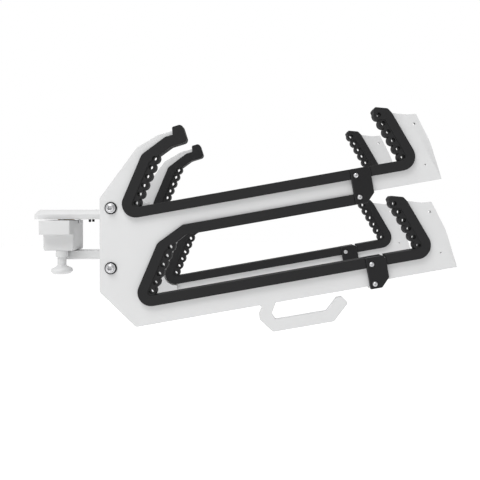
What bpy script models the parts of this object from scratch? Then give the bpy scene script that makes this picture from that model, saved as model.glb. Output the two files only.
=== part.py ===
"""Swing-out board rack for a boat tower: two slotted forks on a swivel bracket.

Run with: blender --background --python part.py
Sizes are in millimetres and are turned into metres where a mesh is made. +X runs along the
arms, +Y towards the rear fork and +Z up. The origin is the middle of the hub's lower front
face, where the rack meets the tower's adapter bar.
"""
import math

import bpy
from mathutils import Vector
from mathutils.geometry import tessellate_polygon

MM = 0.001
GAP = 0.3                      # clearance between pieces that touch
ROUND_SIDES = 20               # sides of an ordinary turned piece
SCREW_SIDES = 12
SMOOTH_ANGLE = math.radians(35)

# Forks
PLATE = 12.0                   # thickness of the fork plates
FORK_Y = {"front": -102.0, "rear": 198.0}
MIDDLE_Y = sum(FORK_Y.values()) / 2
ARM_TILT = math.radians(10)    # the slots' floors rise towards the tips
SLOT_ORIGIN = {"upper": (411.2, 117.8), "lower": (444.3, -69.8)}
SLOT_PITCH = 190.5             # between the slots' floors, square to them
JOINT_U = 278.2                # where an arm ends and its sliding end begins
LOWER_ARM_DEPTH = 61.5         # from the lower slot's floor to the arm's underside

# Rubber liners
BAND = 22.0                    # height of the channel on the plate's edge
FINGER_BAND = 20.0
ROOF_BAND = 22.7               # under the middle arm
BROW_BAND = 23.9               # at the slope beyond that turn
ROOF_CORNER_U = -97.6          # where the plate's edge turns under the middle arm
EDGE_COVER = 6.0               # rubber between a plate's edge and the slot
KNEE_COVER = (-3.4, 5.3)       # the same cover, at the left wall's knee
LINER_HALF = 14.0
CUSHION_HALF = 12.2
LOBE_RADIUS = 12.0
LOBE_LIFT = 4.5                # lobe centres above the band's inner face
LOBE_PITCH = 20.5
LOBE_COUNT = 6
LOBE_BORE = 5.0
LOBE_BORE_LIFT = 6.5
FIRST_LOBE = {"wall": 14.5, "finger": 9.8}    # up the wall from its foot
CHANNEL_HALF = PLATE / 2 + GAP

# Walls of a slot, in its own frame: u along the floor, v square to it
WALL_ANGLE = math.radians(57.1)
WALL_FOOT = (-254.4, -BAND)    # wall's outer face meets the band's lower edge
SHOULDER = (-170.7, 107.5)
BROW = (-115.2, 135.6)
FINGER_ANGLE = math.radians(110.3)
FINGER_FOOT = (412.4, -BAND)

# Clamps that hold the sliding ends
CLAMP_U = (257.2, 299.8)
CLAMP_PLATE = 9.2
CLAMP_DEPTH = {"upper": 76.0, "lower": 67.0}
CLAMP_SCREW_U = 267.7
CLAMP_SCREW = (3.0, 5.3, 3.3, 2.0)     # radii of shank and head, head height, socket radius
CLAMP_SCREW_V = {"upper": (-15.0, -61.6), "lower": (-15.0, -57.0)}
TONGUE_V = (-47.0, -27.0)
TONGUE_LENGTH = 78.0
END_SHOULDER = 53.5            # depth of an end plate below the slot's floor

# Swivel bracket
PIVOT = (0.0, MIDDLE_Y)
HUB_HALF = 36.0
HUB_REAR = 72.0
HUB_STEP = 23.0                # the upper part stands this far in front of the lower
HUB_Z = (-19.5, 19.5, 52.0)
HUB_TRIM = (29.0, 36.5, 41.0, 7.5)    # bottom edges: bevel's foot, its top, cutter's side, height
PIVOT_SHAFT = 10.0
BUSH_OUTER = 13.7
TOP_ARM_Z = (54.6, 66.7, 77.3)
TOP_ARM_HALF = 45.0
TOP_ARM_LEFT = -65.0
TOP_ARM_CUT = 16.0
BOLT_SEAT = 66.7               # underside of the pivot bolt's head
LOWER_ARM_Z = (-43.0, -38.0, -21.3)
LOWER_ARM_HALF = 20.0
ARM_RIGHT = 143.6
CROSS_X = 157.9                # the two cross tubes and the fork bolts in them
CROSS_Z = {"upper": 80.7, "lower": -47.1}
FORK_SCREW = (6.0, 10.5, 6.5, 4.2)
WASHER = 2.0
TUBE_RADIUS = 17.0
TUBE_BORE = 6.3
FLANGE_PLATE = 8.0
WEB_HALF = 10.0
WEB_SCREW = (5.0, 8.0, 10.0)   # radii of shank and head, depth of the counterbore
WEB_SCREW_PLACE = (122.0, MIDDLE_Y)
GRUB_PLACES = {"front": (62.4, 36.0), "rear": (62.4, 60.0)}
STOP_PLACE = (38.8, 32.0)

# Index plunger under the hub
PLUNGER = (4.0, 13.0)
PIN_RADIUS = 5.0
PIN_TOP = 60.0
KNOB_RADIUS = 25.3
GROOVE_TOP = 60.9
INDEX_TOP = 65.6
INDEX_START = math.degrees(math.atan2(PLUNGER[1] - PIVOT[1], PLUNGER[0] - PIVOT[0]))
INDEX_ANGLES = (INDEX_START, INDEX_START - 45, INDEX_START - 90)
INDEX_RADIUS = math.dist(PIVOT, PLUNGER)

COLOURS = {
    "white": ((0.72, 0.73, 0.73), 0.45, 0.0),
    "rubber": ((0.018, 0.018, 0.019), 0.75, 0.0),
    "black": ((0.012, 0.012, 0.013), 0.5, 0.0),
    "steel": ((0.55, 0.55, 0.56), 0.3, 1.0),
    "bronze": ((0.45, 0.3, 0.14), 0.35, 1.0),
}


# ---------------------------------------------------------------- outlines

def slot_point(slot, u, v):
    """Return the (x, z) of a point u along a slot's floor and v above it."""
    x0, z0 = SLOT_ORIGIN[slot]
    cos, sin = math.cos(ARM_TILT), math.sin(ARM_TILT)
    return x0 + u * cos - v * sin, z0 + u * sin + v * cos


def slot_outline(slot, points):
    """Return (u, v, radius) points as (x, z, radius) points."""
    return [(*slot_point(slot, u, v), radius) for u, v, radius in points]


def rounded(points, step=math.radians(24)):
    """Return the closed outline of (x, z, radius) corners, each corner an arc."""
    outline = []
    for index, (x, z, radius) in enumerate(points):
        corner = Vector((x, z))
        before = Vector(points[index - 1][:2]) - corner
        after = Vector(points[(index + 1) % len(points)][:2]) - corner
        if radius == 0:
            outline.append((x, z))
            continue
        angle = before.angle(after)
        reach = radius / math.tan(angle / 2)
        centre_line = (before.normalized() + after.normalized()).normalized()
        centre = corner + centre_line * (radius / math.sin(angle / 2))
        start = corner + before.normalized() * reach - centre
        end = corner + after.normalized() * reach - centre
        turn = start.angle_signed(end)
        steps = max(1, round(abs(turn) / step))
        for i in range(steps + 1):
            part = -turn * i / steps
            cos, sin = math.cos(part), math.sin(part)
            outline.append((centre.x + start.x * cos - start.y * sin,
                            centre.y + start.x * sin + start.y * cos))
    return outline


def circle(x, z, radius, sides=ROUND_SIDES):
    """Return a circle as an outline."""
    return [(x + radius * math.cos(math.tau * i / sides), z + radius * math.sin(math.tau * i / sides))
            for i in range(sides)]


def signed_area(outline):
    """Return the outline's area, positive when it runs counter-clockwise."""
    return sum(outline[i - 1][0] * outline[i][1] - outline[i][0] * outline[i - 1][1]
               for i in range(len(outline))) / 2


def grown(outline, distance):
    """Return the outline moved outwards by a small distance."""
    if signed_area(outline) < 0:
        outline = outline[::-1]
    moved = []
    for i, point in enumerate(outline):
        here = Vector(point)
        first = (here - Vector(outline[i - 1])).normalized()
        second = (Vector(outline[(i + 1) % len(outline)]) - here).normalized()
        out_a, out_b = Vector((first.y, -first.x)), Vector((second.y, -second.x))
        mitre = (out_a + out_b).normalized()
        moved.append(tuple(here + mitre * distance / max(0.3, mitre.dot(out_a))))
    return moved


# ---------------------------------------------------------------- meshes

def new_object(name, points, faces, colour):
    """Make an object from points in millimetres, smooth where its faces nearly agree."""
    mesh = bpy.data.meshes.new(name)
    mesh.from_pydata([(x * MM, y * MM, z * MM) for x, y, z in points], [], faces)
    mesh.validate()
    mesh.shade_smooth()
    mesh.set_sharp_from_angle(angle=SMOOTH_ANGLE)
    mesh.materials.append(material(colour))
    made = bpy.data.objects.new(name, mesh)
    bpy.context.collection.objects.link(made)
    return made


def material(colour):
    """Return the named finish, made once."""
    found = bpy.data.materials.get(colour)
    if found:
        return found
    made = bpy.data.materials.new(colour)
    made.use_nodes = True
    shader = made.node_tree.nodes["Principled BSDF"]
    base, roughness, metallic = COLOURS[colour]
    shader.inputs["Base Color"].default_value = (*base, 1.0)
    shader.inputs["Roughness"].default_value = roughness
    shader.inputs["Metallic"].default_value = metallic
    return made


def extrusion(name, outline, low, high, colour, holes=(), place=None):
    """Make a plate from an outline with holes, between two levels of its third axis.

    place turns (a, b, level) into (x, y, z); by default a is X, b is Z and the level is Y.
    """
    place = place or (lambda a, b, level: (a, level, b))
    loops = [outline if signed_area(outline) > 0 else outline[::-1]]
    loops += [hole if signed_area(hole) < 0 else hole[::-1] for hole in holes]
    flat = [point for loop in loops for point in loop]
    count = len(flat)
    points = [place(*p, low) for p in flat] + [place(*p, high) for p in flat]
    faces, start = [], 0
    for loop in loops:
        for i in range(len(loop)):
            a, b = start + i, start + (i + 1) % len(loop)
            faces.append((a, b, b + count, a + count))
        start += len(loop)
    for tri in tessellate_polygon([[Vector((*p, 0)) for p in loop] for loop in loops]):
        a, b, c = tri
        if signed_area([flat[a], flat[b], flat[c]]) < 0:
            a, c = c, a
        faces += [(c, b, a), (a + count, b + count, c + count)]
    corner = [Vector(place(*p)) for p in ((0, 0, 0), (1, 0, 0), (0, 1, 0), (0, 0, 1))]
    axes = [point - corner[0] for point in corner[1:]]
    if axes[0].cross(axes[1]).dot(axes[2]) < 0:
        faces = [face[::-1] for face in faces]
    return new_object(name, points, faces, colour)


def upright(a, b, level):
    """Place a plan outline (x, y) at a height."""
    return (a, b, level)


def turned(name, profile, centre, colour, axis="z", sides=ROUND_SIDES):
    """Turn a closed profile of (radius, level) corners about an upright or a fore-aft axis.

    The profile runs up the outside. A radius of 0 is a point on the axis.
    """
    points, rings = [], []
    for radius, level in profile:
        ring = []
        for i in range(sides if radius else 1):
            a, b = radius * math.cos(math.tau * i / sides), radius * math.sin(math.tau * i / sides)
            ring.append(len(points))
            if axis == "z":
                points.append((centre[0] + a, centre[1] + b, level))
            else:
                points.append((centre[0] + b, level, centre[1] + a))
        rings.append(ring)
    faces = []
    for lower, upper in zip(rings, rings[1:] + rings[:1]):
        for i in range(sides):
            a, b = lower[i % len(lower)], lower[(i + 1) % len(lower)]
            c, d = upper[(i + 1) % len(upper)], upper[i % len(upper)]
            face = tuple(dict.fromkeys((a, b, c, d)))
            if len(face) > 2:
                faces.append(face)
    return new_object(name, points, faces, colour)


def joined(name, pieces):
    """Join separate solids into one named object."""
    points, faces = [], []
    for piece in pieces:
        start = len(points)
        points += [tuple(v.co / MM) for v in piece.data.vertices]
        faces += [tuple(start + i for i in p.vertices) for p in piece.data.polygons]
    colour = pieces[0].data.materials[0].name
    for piece in pieces:
        bpy.data.objects.remove(piece)
    return new_object(name, points, faces, colour)


def boolean(target, tool, operation="DIFFERENCE"):
    """Cut or join a tool into a target, leave the plain result and remove the tool."""
    modifier = target.modifiers.new("cut", "BOOLEAN")
    modifier.operation = operation
    modifier.solver = "EXACT"
    modifier.object = tool
    evaluated = target.evaluated_get(bpy.context.evaluated_depsgraph_get())
    target.data = bpy.data.meshes.new_from_object(evaluated)
    target.modifiers.clear()
    target.data.set_sharp_from_angle(angle=SMOOTH_ANGLE)
    bpy.data.objects.remove(tool)


def copied(source, name, shift_y):
    """Make a copy of a finished piece, moved along Y."""
    made = bpy.data.objects.new(name, source.data)
    made.location.y = shift_y * MM
    bpy.context.collection.objects.link(made)
    return made


def cylinder(centre, radius, low, high, axis="z", sides=ROUND_SIDES, colour="steel"):
    """Make a plain round bar, for cutting and joining."""
    return turned("bar", [(0, low), (radius, low), (radius, high), (0, high)], centre, colour, axis, sides)


def drill(centre, steps, sides=ROUND_SIDES):
    """Make a stepped upright cutter from (radius, height) corners, bottom to top."""
    return turned("drill", [(0, steps[0][1]), *steps, (0, steps[-1][1])], centre, "steel", sides=sides)


# ---------------------------------------------------------------- forks and liners

def along_wall(foot, angle, side, s, h):
    """Return the (u, v) of a point s up a leaning wall and h off its face."""
    return (foot[0] + s * math.cos(angle) + side * h * math.sin(angle),
            foot[1] + s * math.sin(angle) - side * h * math.cos(angle))


def wall_foot(outer_foot, angle, side, band):
    """Return where a wall's inner face meets the slot's floor."""
    run = BAND / math.tan(angle)
    return outer_foot[0] + run + side * band / math.sin(angle), 0.0


LEFT_WALL = (wall_foot(WALL_FOOT, WALL_ANGLE, 1, BAND), WALL_ANGLE, 1)
FINGER_WALL = (wall_foot(FINGER_FOOT, FINGER_ANGLE, -1, FINGER_BAND), FINGER_ANGLE, -1)
INNER_KNEE = (-156.8, 88.5)    # the left wall's inner face meets the brow's


def brow_point(u, below):
    """Return a point under the brow's outer line, this far below it, at u."""
    slope = (BROW[1] - SHOULDER[1]) / (BROW[0] - SHOULDER[0])
    return u, BROW[1] + slope * (u - BROW[0]) - below * math.hypot(1, slope)


def cushion(slot, wall, first):
    """Return the outline of a row of lobes that stands on a wall, and its bores."""
    base = -3.0
    half = math.sqrt(LOBE_RADIUS ** 2 - (LOBE_LIFT - base) ** 2)
    cusp = math.asin(math.sqrt(LOBE_RADIUS ** 2 - (LOBE_PITCH / 2) ** 2) / LOBE_RADIUS)
    low = math.atan2(base - LOBE_LIFT, half)
    outline = []
    for i in range(LOBE_COUNT):
        middle = first + i * LOBE_PITCH
        start = math.pi - (low if i == 0 else cusp)
        end = low if i == LOBE_COUNT - 1 else cusp
        steps = 6
        for j in range(steps if i < LOBE_COUNT - 1 else steps + 1):
            angle = start + (end - start) * j / steps
            outline.append(along_wall(*wall, middle + LOBE_RADIUS * math.cos(angle),
                                      LOBE_LIFT + LOBE_RADIUS * math.sin(angle)))
    bores = []
    for i in range(LOBE_COUNT):
        centre = along_wall(*wall, first + i * LOBE_PITCH, LOBE_BORE_LIFT)
        bores.append(slot_point(slot, *centre))
    return [slot_point(slot, *p) for p in outline], bores


def liner(name, slot, outline, wall, first, plate_outline):
    """Make a rubber channel with its row of hollow lobes, for the front fork."""
    y = FORK_Y["front"]
    made = extrusion(name, outline, y - LINER_HALF, y + LINER_HALF, "rubber")
    lobes, bores = cushion(slot, wall, first)
    boolean(made, extrusion("lobes", lobes, y - CUSHION_HALF, y + CUSHION_HALF, "rubber"), "UNION")
    drills = [cylinder(centre, LOBE_BORE, y - 20, y + 20, "y", 8, "rubber") for centre in bores]
    boolean(made, joined("drills", drills))
    channel = grown(plate_outline, GAP)
    boolean(made, extrusion("channel", channel, y - CHANNEL_HALF, y + CHANNEL_HALF, "rubber"))
    return made


def slot_edge(slot):
    """Return the plate's edge round a slot's floor and left wall, from the arm's end."""
    cover = EDGE_COVER
    foot = (LEFT_WALL[0][0] - cover / math.sin(WALL_ANGLE) - cover / math.tan(WALL_ANGLE), -cover)
    knee = (INNER_KNEE[0] + KNEE_COVER[0], INNER_KNEE[1] + KNEE_COVER[1])
    return slot_outline(slot, [(JOINT_U, -cover, 0), (*foot, 12), (*knee, 10)])


def fork_outline(hooked):
    """Return a fork plate's outline; the front fork has the open hanging hook."""
    roof = SLOT_PITCH - END_SHOULDER - ROOF_BAND + EDGE_COVER
    lower = slot_edge("lower") + slot_outline("lower", [(ROOF_CORNER_U, roof, 15), (JOINT_U, roof, 0)])
    upper = slot_edge("upper") + slot_outline("upper", [
        (*brow_point(-102, BAND - EDGE_COVER), 6), (-86, 121, 3), (-79, 128, 3), (-80, 140, 5),
        (-88, 147, 3), (-100.4, 146.4, 6), (-130.2, 143.6, 15), (-179.2, 125.2, 15)])
    left = [(133.4, 102.2, 8), (133.4, -98, 8), (210.8, -172.8, 8)]
    hook = [(474.2, -126.5, 0), (479.5, -130.6, 3), (472.7, -144.2, 5), (474.2, -156.4, 5),
            (502.8, -183, 8), (633.1, -160.6, 8), (663, -121.2, 6), (649.3, -107.5, 3),
            (637.8, -110.3, 3), (616.7, -138, 6), (508.1, -156.4, 6), (500, -144.2, 5),
            (508.7, -120.4, 0)]
    foot = slot_outline("lower", [(256, -LOWER_ARM_DEPTH, 0), (258, -66, 0), (JOINT_U, -66, 0)])
    return rounded(left + (hook if hooked else []) + foot + lower + upper)


def fork(name, hooked, y):
    """Make a fork plate with its bolt, clamp screw and tongue cuts."""
    holes = [circle(CROSS_X, z, TUBE_BORE) for z in CROSS_Z.values()]
    for slot, levels in CLAMP_SCREW_V.items():
        holes += [circle(*slot_point(slot, CLAMP_SCREW_U, v), 3.3, 8) for v in levels]
    made = extrusion(name, fork_outline(hooked), y - PLATE / 2, y + PLATE / 2, "white", holes)
    for slot in SLOT_ORIGIN:
        low, high = TONGUE_V
        start = JOINT_U - TONGUE_LENGTH - 2
        groove = slot_outline(slot, [(start, low - GAP, 0), (JOINT_U + 5, low - GAP, 0),
                                     (JOINT_U + 5, high + GAP, 0), (start, high + GAP, 0)])
        boolean(made, extrusion("groove", rounded(groove), y - 0.2, y + PLATE, "white"))
    return made


def upper_liner_outline():
    """Return the upper slot's channel, which ends in a hooked cap."""
    foot = LEFT_WALL[0]
    return rounded(slot_outline("upper", [
        (CLAMP_U[0] - 0.4, -BAND, 0), (*WALL_FOOT, 28.8), (*SHOULDER, 20), (*BROW, 15),
        (-98.8, 137.4, 0), (-97.2, 153.8, 4), (-75.2, 156.5, 8), (-70, 118, 9),
        (*brow_point(-106, BROW_BAND), 15),
        (*INNER_KNEE, 8), (*foot, 7), (CLAMP_U[0] - 0.4, 0, 0)]))


def lower_liner_outline():
    """Return the lower slot's channel, which runs on under the middle arm."""
    foot = LEFT_WALL[0]
    top = SLOT_PITCH - END_SHOULDER
    roof = top - ROOF_BAND
    return rounded(slot_outline("lower", [
        (CLAMP_U[0] - 0.4, -BAND, 0), (*WALL_FOOT, 28.8), (*SHOULDER, 20), (-110.5, top, 15),
        (CLAMP_U[0] - 0.4, top, 0), (CLAMP_U[0] - 0.4, roof, 0), (-108.6, roof, 15),
        (*INNER_KNEE, 8), (*foot, 7), (CLAMP_U[0] - 0.4, 0, 0)]))


# ---------------------------------------------------------------- sliding ends

FOLD = ((398.3, 94.5), (448.2, -END_SHOULDER))
FACET_FALL = 0.13              # how far the facet falls back per millimetre past the fold


def end_plate_outline(slot):
    """Return a sliding end's plate, without its tongue."""
    return rounded(slot_outline(slot, [
        (JOINT_U + 0.4, -EDGE_COVER, 0), (391.6, -EDGE_COVER, 14), (351.1, 103.5, 0),
        (349, 108, 2), (357.5, 109, 2), (366, 104.2, 0), (*FOLD[0], 0), (419.1, 93, 3),
        (438.9, 27.5, 120), (*FOLD[1], 0), (JOINT_U + 0.4, -END_SHOULDER, 0)]))


def end_plate(name, slot):
    """Make a sliding end: plate, folded-back facet, half-thick tongue and two holes."""
    y = FORK_Y["front"]
    drills = [circle(*slot_point(slot, 411.0, 72.3), 3.2, 8), circle(*slot_point(slot, 419.4, -17.3), 1.3, 6)]
    made = extrusion(name, end_plate_outline(slot), y - PLATE / 2, y + PLATE / 2, "white", drills)
    low, high = TONGUE_V
    tongue = slot_outline(slot, [(JOINT_U + 0.4 - TONGUE_LENGTH, low, 0), (JOINT_U + 10, low, 0),
                                 (JOINT_U + 10, high, 0), (JOINT_U + 0.4 - TONGUE_LENGTH, high, 0)])
    boolean(made, extrusion("tongue", rounded(tongue), y + 0.1, y + 5.7, "white"), "UNION")
    boolean(made, facet_tool(slot, y - PLATE / 2))
    return made


def facet_tool(slot, face_y):
    """Make the wedge that takes the facet off the plate's front, outside the fold line."""
    reach = 80.0
    (u0, v0), (u1, v1) = FOLD
    along = Vector((u1 - u0, v1 - v0)).normalized()
    out = Vector((-along.y, along.x))
    points = []
    for end in (Vector(FOLD[0]) - along * reach, Vector(FOLD[1]) + along * reach):
        near = slot_point(slot, *end)
        far = slot_point(slot, *(end + out * reach))
        points += [(near[0], face_y - 0.01, near[1]), (far[0], face_y + FACET_FALL * reach, far[1]),
                   (far[0], face_y - reach / 4, far[1]), (near[0], face_y - reach / 4, near[1])]
    faces = [(0, 1, 2, 3), (7, 6, 5, 4), (4, 5, 1, 0), (5, 6, 2, 1), (6, 7, 3, 2), (7, 4, 0, 3)]
    return new_object("wedge", points, faces, "white")


def end_liner_outline(slot):
    """Return the channel of a sliding end, capped over its finger."""
    foot = FINGER_WALL[0]
    under_cap = along_wall(*FINGER_WALL, 97, 0)
    return rounded(slot_outline(slot, [
        (CLAMP_U[1] + 0.6, -BAND, 0), (*FINGER_FOOT, 30), (366, 103.1, 6), (359.2, 113.5, 6),
        (333.5, 120.6, 3), (327.5, 114.5, 3), (331.5, 94.5, 3), (*under_cap, 3), (*foot, 8),
        (CLAMP_U[1] + 0.6, 0, 0)]))


# ---------------------------------------------------------------- clamps and fasteners

def clamp_outline(slot):
    """Return a clamp plate's outline."""
    left, right = CLAMP_U
    depth = CLAMP_DEPTH[slot]
    return rounded(slot_outline(slot, [
        (left, 0, 0), (left, -depth, 0), (right - 18, -depth, 0), (right, -depth + 19, 0),
        (right, -7, 0), (right - 7, 0, 0)]))


def clamp_plate(name, slot, y, side):
    """Make one clamp plate, on the front (-1) or the back (+1) of a fork."""
    near = y + side * (PLATE / 2 + GAP)
    low, high = sorted((near, near + side * CLAMP_PLATE))
    holes = [circle(*slot_point(slot, CLAMP_SCREW_U, v), 3.3, 8) for v in CLAMP_SCREW_V[slot]]
    return extrusion(name, clamp_outline(slot), low, high, "black", holes)


def button_screw(name, centre, face_y, side, length, sizes):
    """Make a button-head screw whose head sits on a face; side -1 faces the front."""
    shank, head, height, socket = sizes
    profile = [(0, length), (shank, length), (shank, 0), (head, 0), (head * 0.97, -height * 0.35),
               (head * 0.75, -height * 0.85), (socket, -height), (socket, -height * 0.45),
               (0, -height * 0.45)]
    profile = [(radius, face_y - side * level) for radius, level in profile]
    if side < 0:
        profile = profile[::-1]
    return turned(name, profile, centre, "steel", "y", SCREW_SIDES)


def fork_bolts():
    """Make the bolts through the forks into the cross tubes, each on a dark washer."""
    for level, z in CROSS_Z.items():
        for fork_name, side in (("front", -1), ("rear", 1)):
            near = FORK_Y[fork_name] + side * (PLATE / 2 + GAP)
            far = near + side * WASHER
            low, high = sorted((near, far))
            extrusion(f"fork_washer_{fork_name}_{level}", circle(CROSS_X, z, 13), low, high, "black",
                      [circle(CROSS_X, z, TUBE_BORE)])
            button_screw(f"fork_bolt_{fork_name}_{level}", (CROSS_X, z), far + side * GAP, side, 50,
                         FORK_SCREW)


def clamp_screws():
    """Make the screws through every pair of clamp plates, tapped into the inner one."""
    for fork_name, y in FORK_Y.items():
        face = y - PLATE / 2 - GAP - CLAMP_PLATE - GAP
        for slot, levels in CLAMP_SCREW_V.items():
            for place, v in zip(("top", "bottom"), levels):
                button_screw(f"clamp_screw_{fork_name}_{slot}_{place}",
                             slot_point(slot, CLAMP_SCREW_U, v), face, -1, 30, CLAMP_SCREW)


# ---------------------------------------------------------------- swivel bracket

def hub_block():
    """Make the stepped hub that bolts to the tower's adapter bar."""
    low, step, high = HUB_Z
    inner, outer, reach, height = HUB_TRIM
    rear = 12.0

    def plan(front):
        return rounded([(-HUB_HALF, front, 3), (HUB_HALF, front, 3), (HUB_HALF, HUB_REAR, rear),
                        (-HUB_HALF, HUB_REAR, rear)])

    made = extrusion("hub_block", plan(0), low, high, "white", place=upright)
    boolean(made, extrusion("ledge", rounded([
        (-HUB_HALF + 0.02, -HUB_STEP, 2), (HUB_HALF - 0.02, -HUB_STEP, 2), (HUB_HALF - 0.02, 30, 0),
        (-HUB_HALF + 0.02, 30, 0)]), step, high - 0.02, "white", place=upright), "UNION")
    for side in (-1, 1):
        trim = [(side * inner, low - 5), (side * reach, low - 5), (side * reach, low + height),
                (side * outer, low + height)]
        boolean(made, extrusion("trim", trim, -30, 90, "white"))
    boolean(made, cylinder(PIVOT, BUSH_OUTER + GAP, low - 5, high + 5))
    boolean(made, drill(PLUNGER, [(10.0, low - 5), (10.0, 22.5), (PIN_RADIUS + GAP, 22.5),
                                  (PIN_RADIUS + GAP, high + 5)]))
    ledge_y = -HUB_STEP / 2
    drills = [cylinder((0, ledge_y), 6.6, step - 5, high + 5, sides=16)]
    drills += [cylinder((x, ledge_y), 3.3, step - 5, high + 5, sides=12) for x in (-20, 20)]
    boolean(made, joined("drills", drills))
    return made


def pivot_pieces():
    """Make the pivot bolt, its nut and the two flanged bushes."""
    low, seat, head = LOWER_ARM_Z[0], BOLT_SEAT, TOP_ARM_Z[2] - GAP
    turned("pivot_bolt", [(0, low + 0.4), (8, low + 0.4), (8, -33.4), (PIVOT_SHAFT, -33.4),
                          (PIVOT_SHAFT, seat), (15, seat), (15, head), (5, head), (5, head - 6),
                          (0, head - 6)], PIVOT, "steel")
    turned("pivot_nut", [(8.3, low + 0.4), (15, low + 0.4), (15, -34), (8.3, -34)], PIVOT, "steel")
    inner = PIVOT_SHAFT + GAP
    turned("pivot_bush_upper", [(inner, 30), (BUSH_OUTER, 30), (BUSH_OUTER, 52.3), (19, 52.3),
                                (19, 54.3), (inner, 54.3)], PIVOT, "bronze")
    turned("pivot_bush_lower", [(inner, -21.0), (19, -21.0), (19, -19.8), (BUSH_OUTER, -19.8),
                                (BUSH_OUTER, 4), (inner, 4)], PIVOT, "bronze")


def top_arm():
    """Make the upper swing arm: bevelled plate, index groove and screw holes."""
    low, edge, high = TOP_ARM_Z

    def plan(inset):
        left, right = TOP_ARM_LEFT + inset, ARM_RIGHT
        front, rear = MIDDLE_Y - TOP_ARM_HALF + inset, MIDDLE_Y + TOP_ARM_HALF - inset
        cut = TOP_ARM_CUT - inset * 0.4
        return [(left + cut, front), (right, front), (right, rear), (left + cut, rear),
                (left, rear - cut), (left, front + cut)]

    made = tapered("top_arm", [(low, plan(0)), (edge, plan(0)), (high, plan(high - edge))])
    boolean(made, cylinder((CROSS_X, CROSS_Z["upper"]), TUBE_RADIUS + GAP, -60, 160, "y"))
    boolean(made, drill(PIVOT, [(PIVOT_SHAFT + GAP, low - 5), (PIVOT_SHAFT + GAP, BOLT_SEAT - GAP),
                                (15 + GAP, BOLT_SEAT - GAP), (15 + GAP, high + 5)]))
    boolean(made, index_groove())
    tips = [cylinder(index_place(a), PIN_RADIUS + 0.4, GROOVE_TOP - 3, INDEX_TOP, sides=16)
            for a in INDEX_ANGLES]
    boolean(made, joined("tips", tips))
    drills = [cylinder(place, 3.3, low - 5, 64, sides=12) for place in GRUB_PLACES.values()]
    drills.append(cylinder(STOP_PLACE, 2.8, low - 5, 66, sides=12))
    boolean(made, joined("drills", drills))
    boolean(made, web_screw_hole(high, 1))
    return made


def index_place(degrees):
    """Return a place on the index circle round the pivot."""
    angle = math.radians(degrees)
    return PIVOT[0] + INDEX_RADIUS * math.cos(angle), PIVOT[1] + INDEX_RADIUS * math.sin(angle)


def index_groove():
    """Make the curved cutter for the groove that the plunger's tip runs in."""
    half = PIN_RADIUS + 0.7
    steps, cap = 12, 6
    first, last = math.radians(INDEX_ANGLES[-1]), math.radians(INDEX_ANGLES[0])
    outline = []
    for radius, ends in ((INDEX_RADIUS + half, (first, last)), (INDEX_RADIUS - half, (last, first))):
        for i in range(steps + 1):
            angle = ends[0] + (ends[1] - ends[0]) * i / steps
            outline.append((PIVOT[0] + radius * math.cos(angle), PIVOT[1] + radius * math.sin(angle)))
        centre = index_place(math.degrees(ends[1]))
        turn = ends[1] if radius > INDEX_RADIUS else ends[1] + math.pi
        for i in range(1, cap):
            angle = turn + math.pi * i / cap
            outline.append((centre[0] + half * math.cos(angle), centre[1] + half * math.sin(angle)))
    return extrusion("groove", outline, TOP_ARM_Z[0] - 5, GROOVE_TOP, "white", place=upright)


def web_screw_hole(face, up):
    """Make the cutter for a swing arm's counterbored screw, from its outer face."""
    bore, sink = WEB_SCREW[0] + GAP, WEB_SCREW[1] + GAP
    profile = [(0, -40), (bore, -40), (bore, -WEB_SCREW[2]), (sink, -WEB_SCREW[2]), (sink, 5), (0, 5)]
    profile = [(radius, face + up * level) for radius, level in profile]
    return turned("drill", profile if up > 0 else profile[::-1], WEB_SCREW_PLACE, "steel", sides=16)


def web_screws():
    """Make the two screws that pull the swing arms on to the web."""
    shank, head, sink = WEB_SCREW
    for name, face, up in (("upper", TOP_ARM_Z[2], 1), ("lower", LOWER_ARM_Z[0], -1)):
        profile = [(0, -38), (shank, -38), (shank, GAP - sink), (head, GAP - sink), (head, -0.6),
                   (4, -0.6), (4, -5), (0, -5)]
        profile = [(radius, face + up * level) for radius, level in profile]
        turned(f"web_screw_{name}", profile if up > 0 else profile[::-1], WEB_SCREW_PLACE, "steel", sides=16)


def lower_arm():
    """Make the lower swing arm, round at the pivot and bevelled below."""
    low, edge, high = LOWER_ARM_Z

    def plan(inset):
        half = LOWER_ARM_HALF - inset
        arc = [(PIVOT[0] - half * math.sin(math.pi * i / 16), PIVOT[1] - half * math.cos(math.pi * i / 16))
               for i in range(17)]
        return [(ARM_RIGHT, MIDDLE_Y + half), *arc[::-1], (ARM_RIGHT, MIDDLE_Y - half)]

    made = tapered("lower_arm", [(low, plan(edge - low)), (edge, plan(0)), (high, plan(0))])
    boolean(made, cylinder((CROSS_X, CROSS_Z["lower"]), TUBE_RADIUS + GAP, -60, 160, "y"))
    boolean(made, drill(PIVOT, [(15 + GAP, low - 5), (15 + GAP, -33.7), (PIVOT_SHAFT + GAP, -33.7),
                                (PIVOT_SHAFT + GAP, high + 5)]))
    boolean(made, web_screw_hole(low, -1))
    return made


def tapered(name, levels):
    """Make a solid through plan outlines of the same point count, bottom to top."""
    count = len(levels[0][1])
    points = [(x, y, z) for z, outline in levels for x, y in outline]
    faces = []
    for k in range(len(levels) - 1):
        for i in range(count):
            a, b = k * count + i, k * count + (i + 1) % count
            faces.append((a, b, b + count, a + count))
    top = (len(levels) - 1) * count
    faces += [tuple(range(count))[::-1], tuple(range(top, top + count))]
    if signed_area(levels[0][1]) < 0:
        faces = [face[::-1] for face in faces]
    return new_object(name, points, faces, "white")


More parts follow.
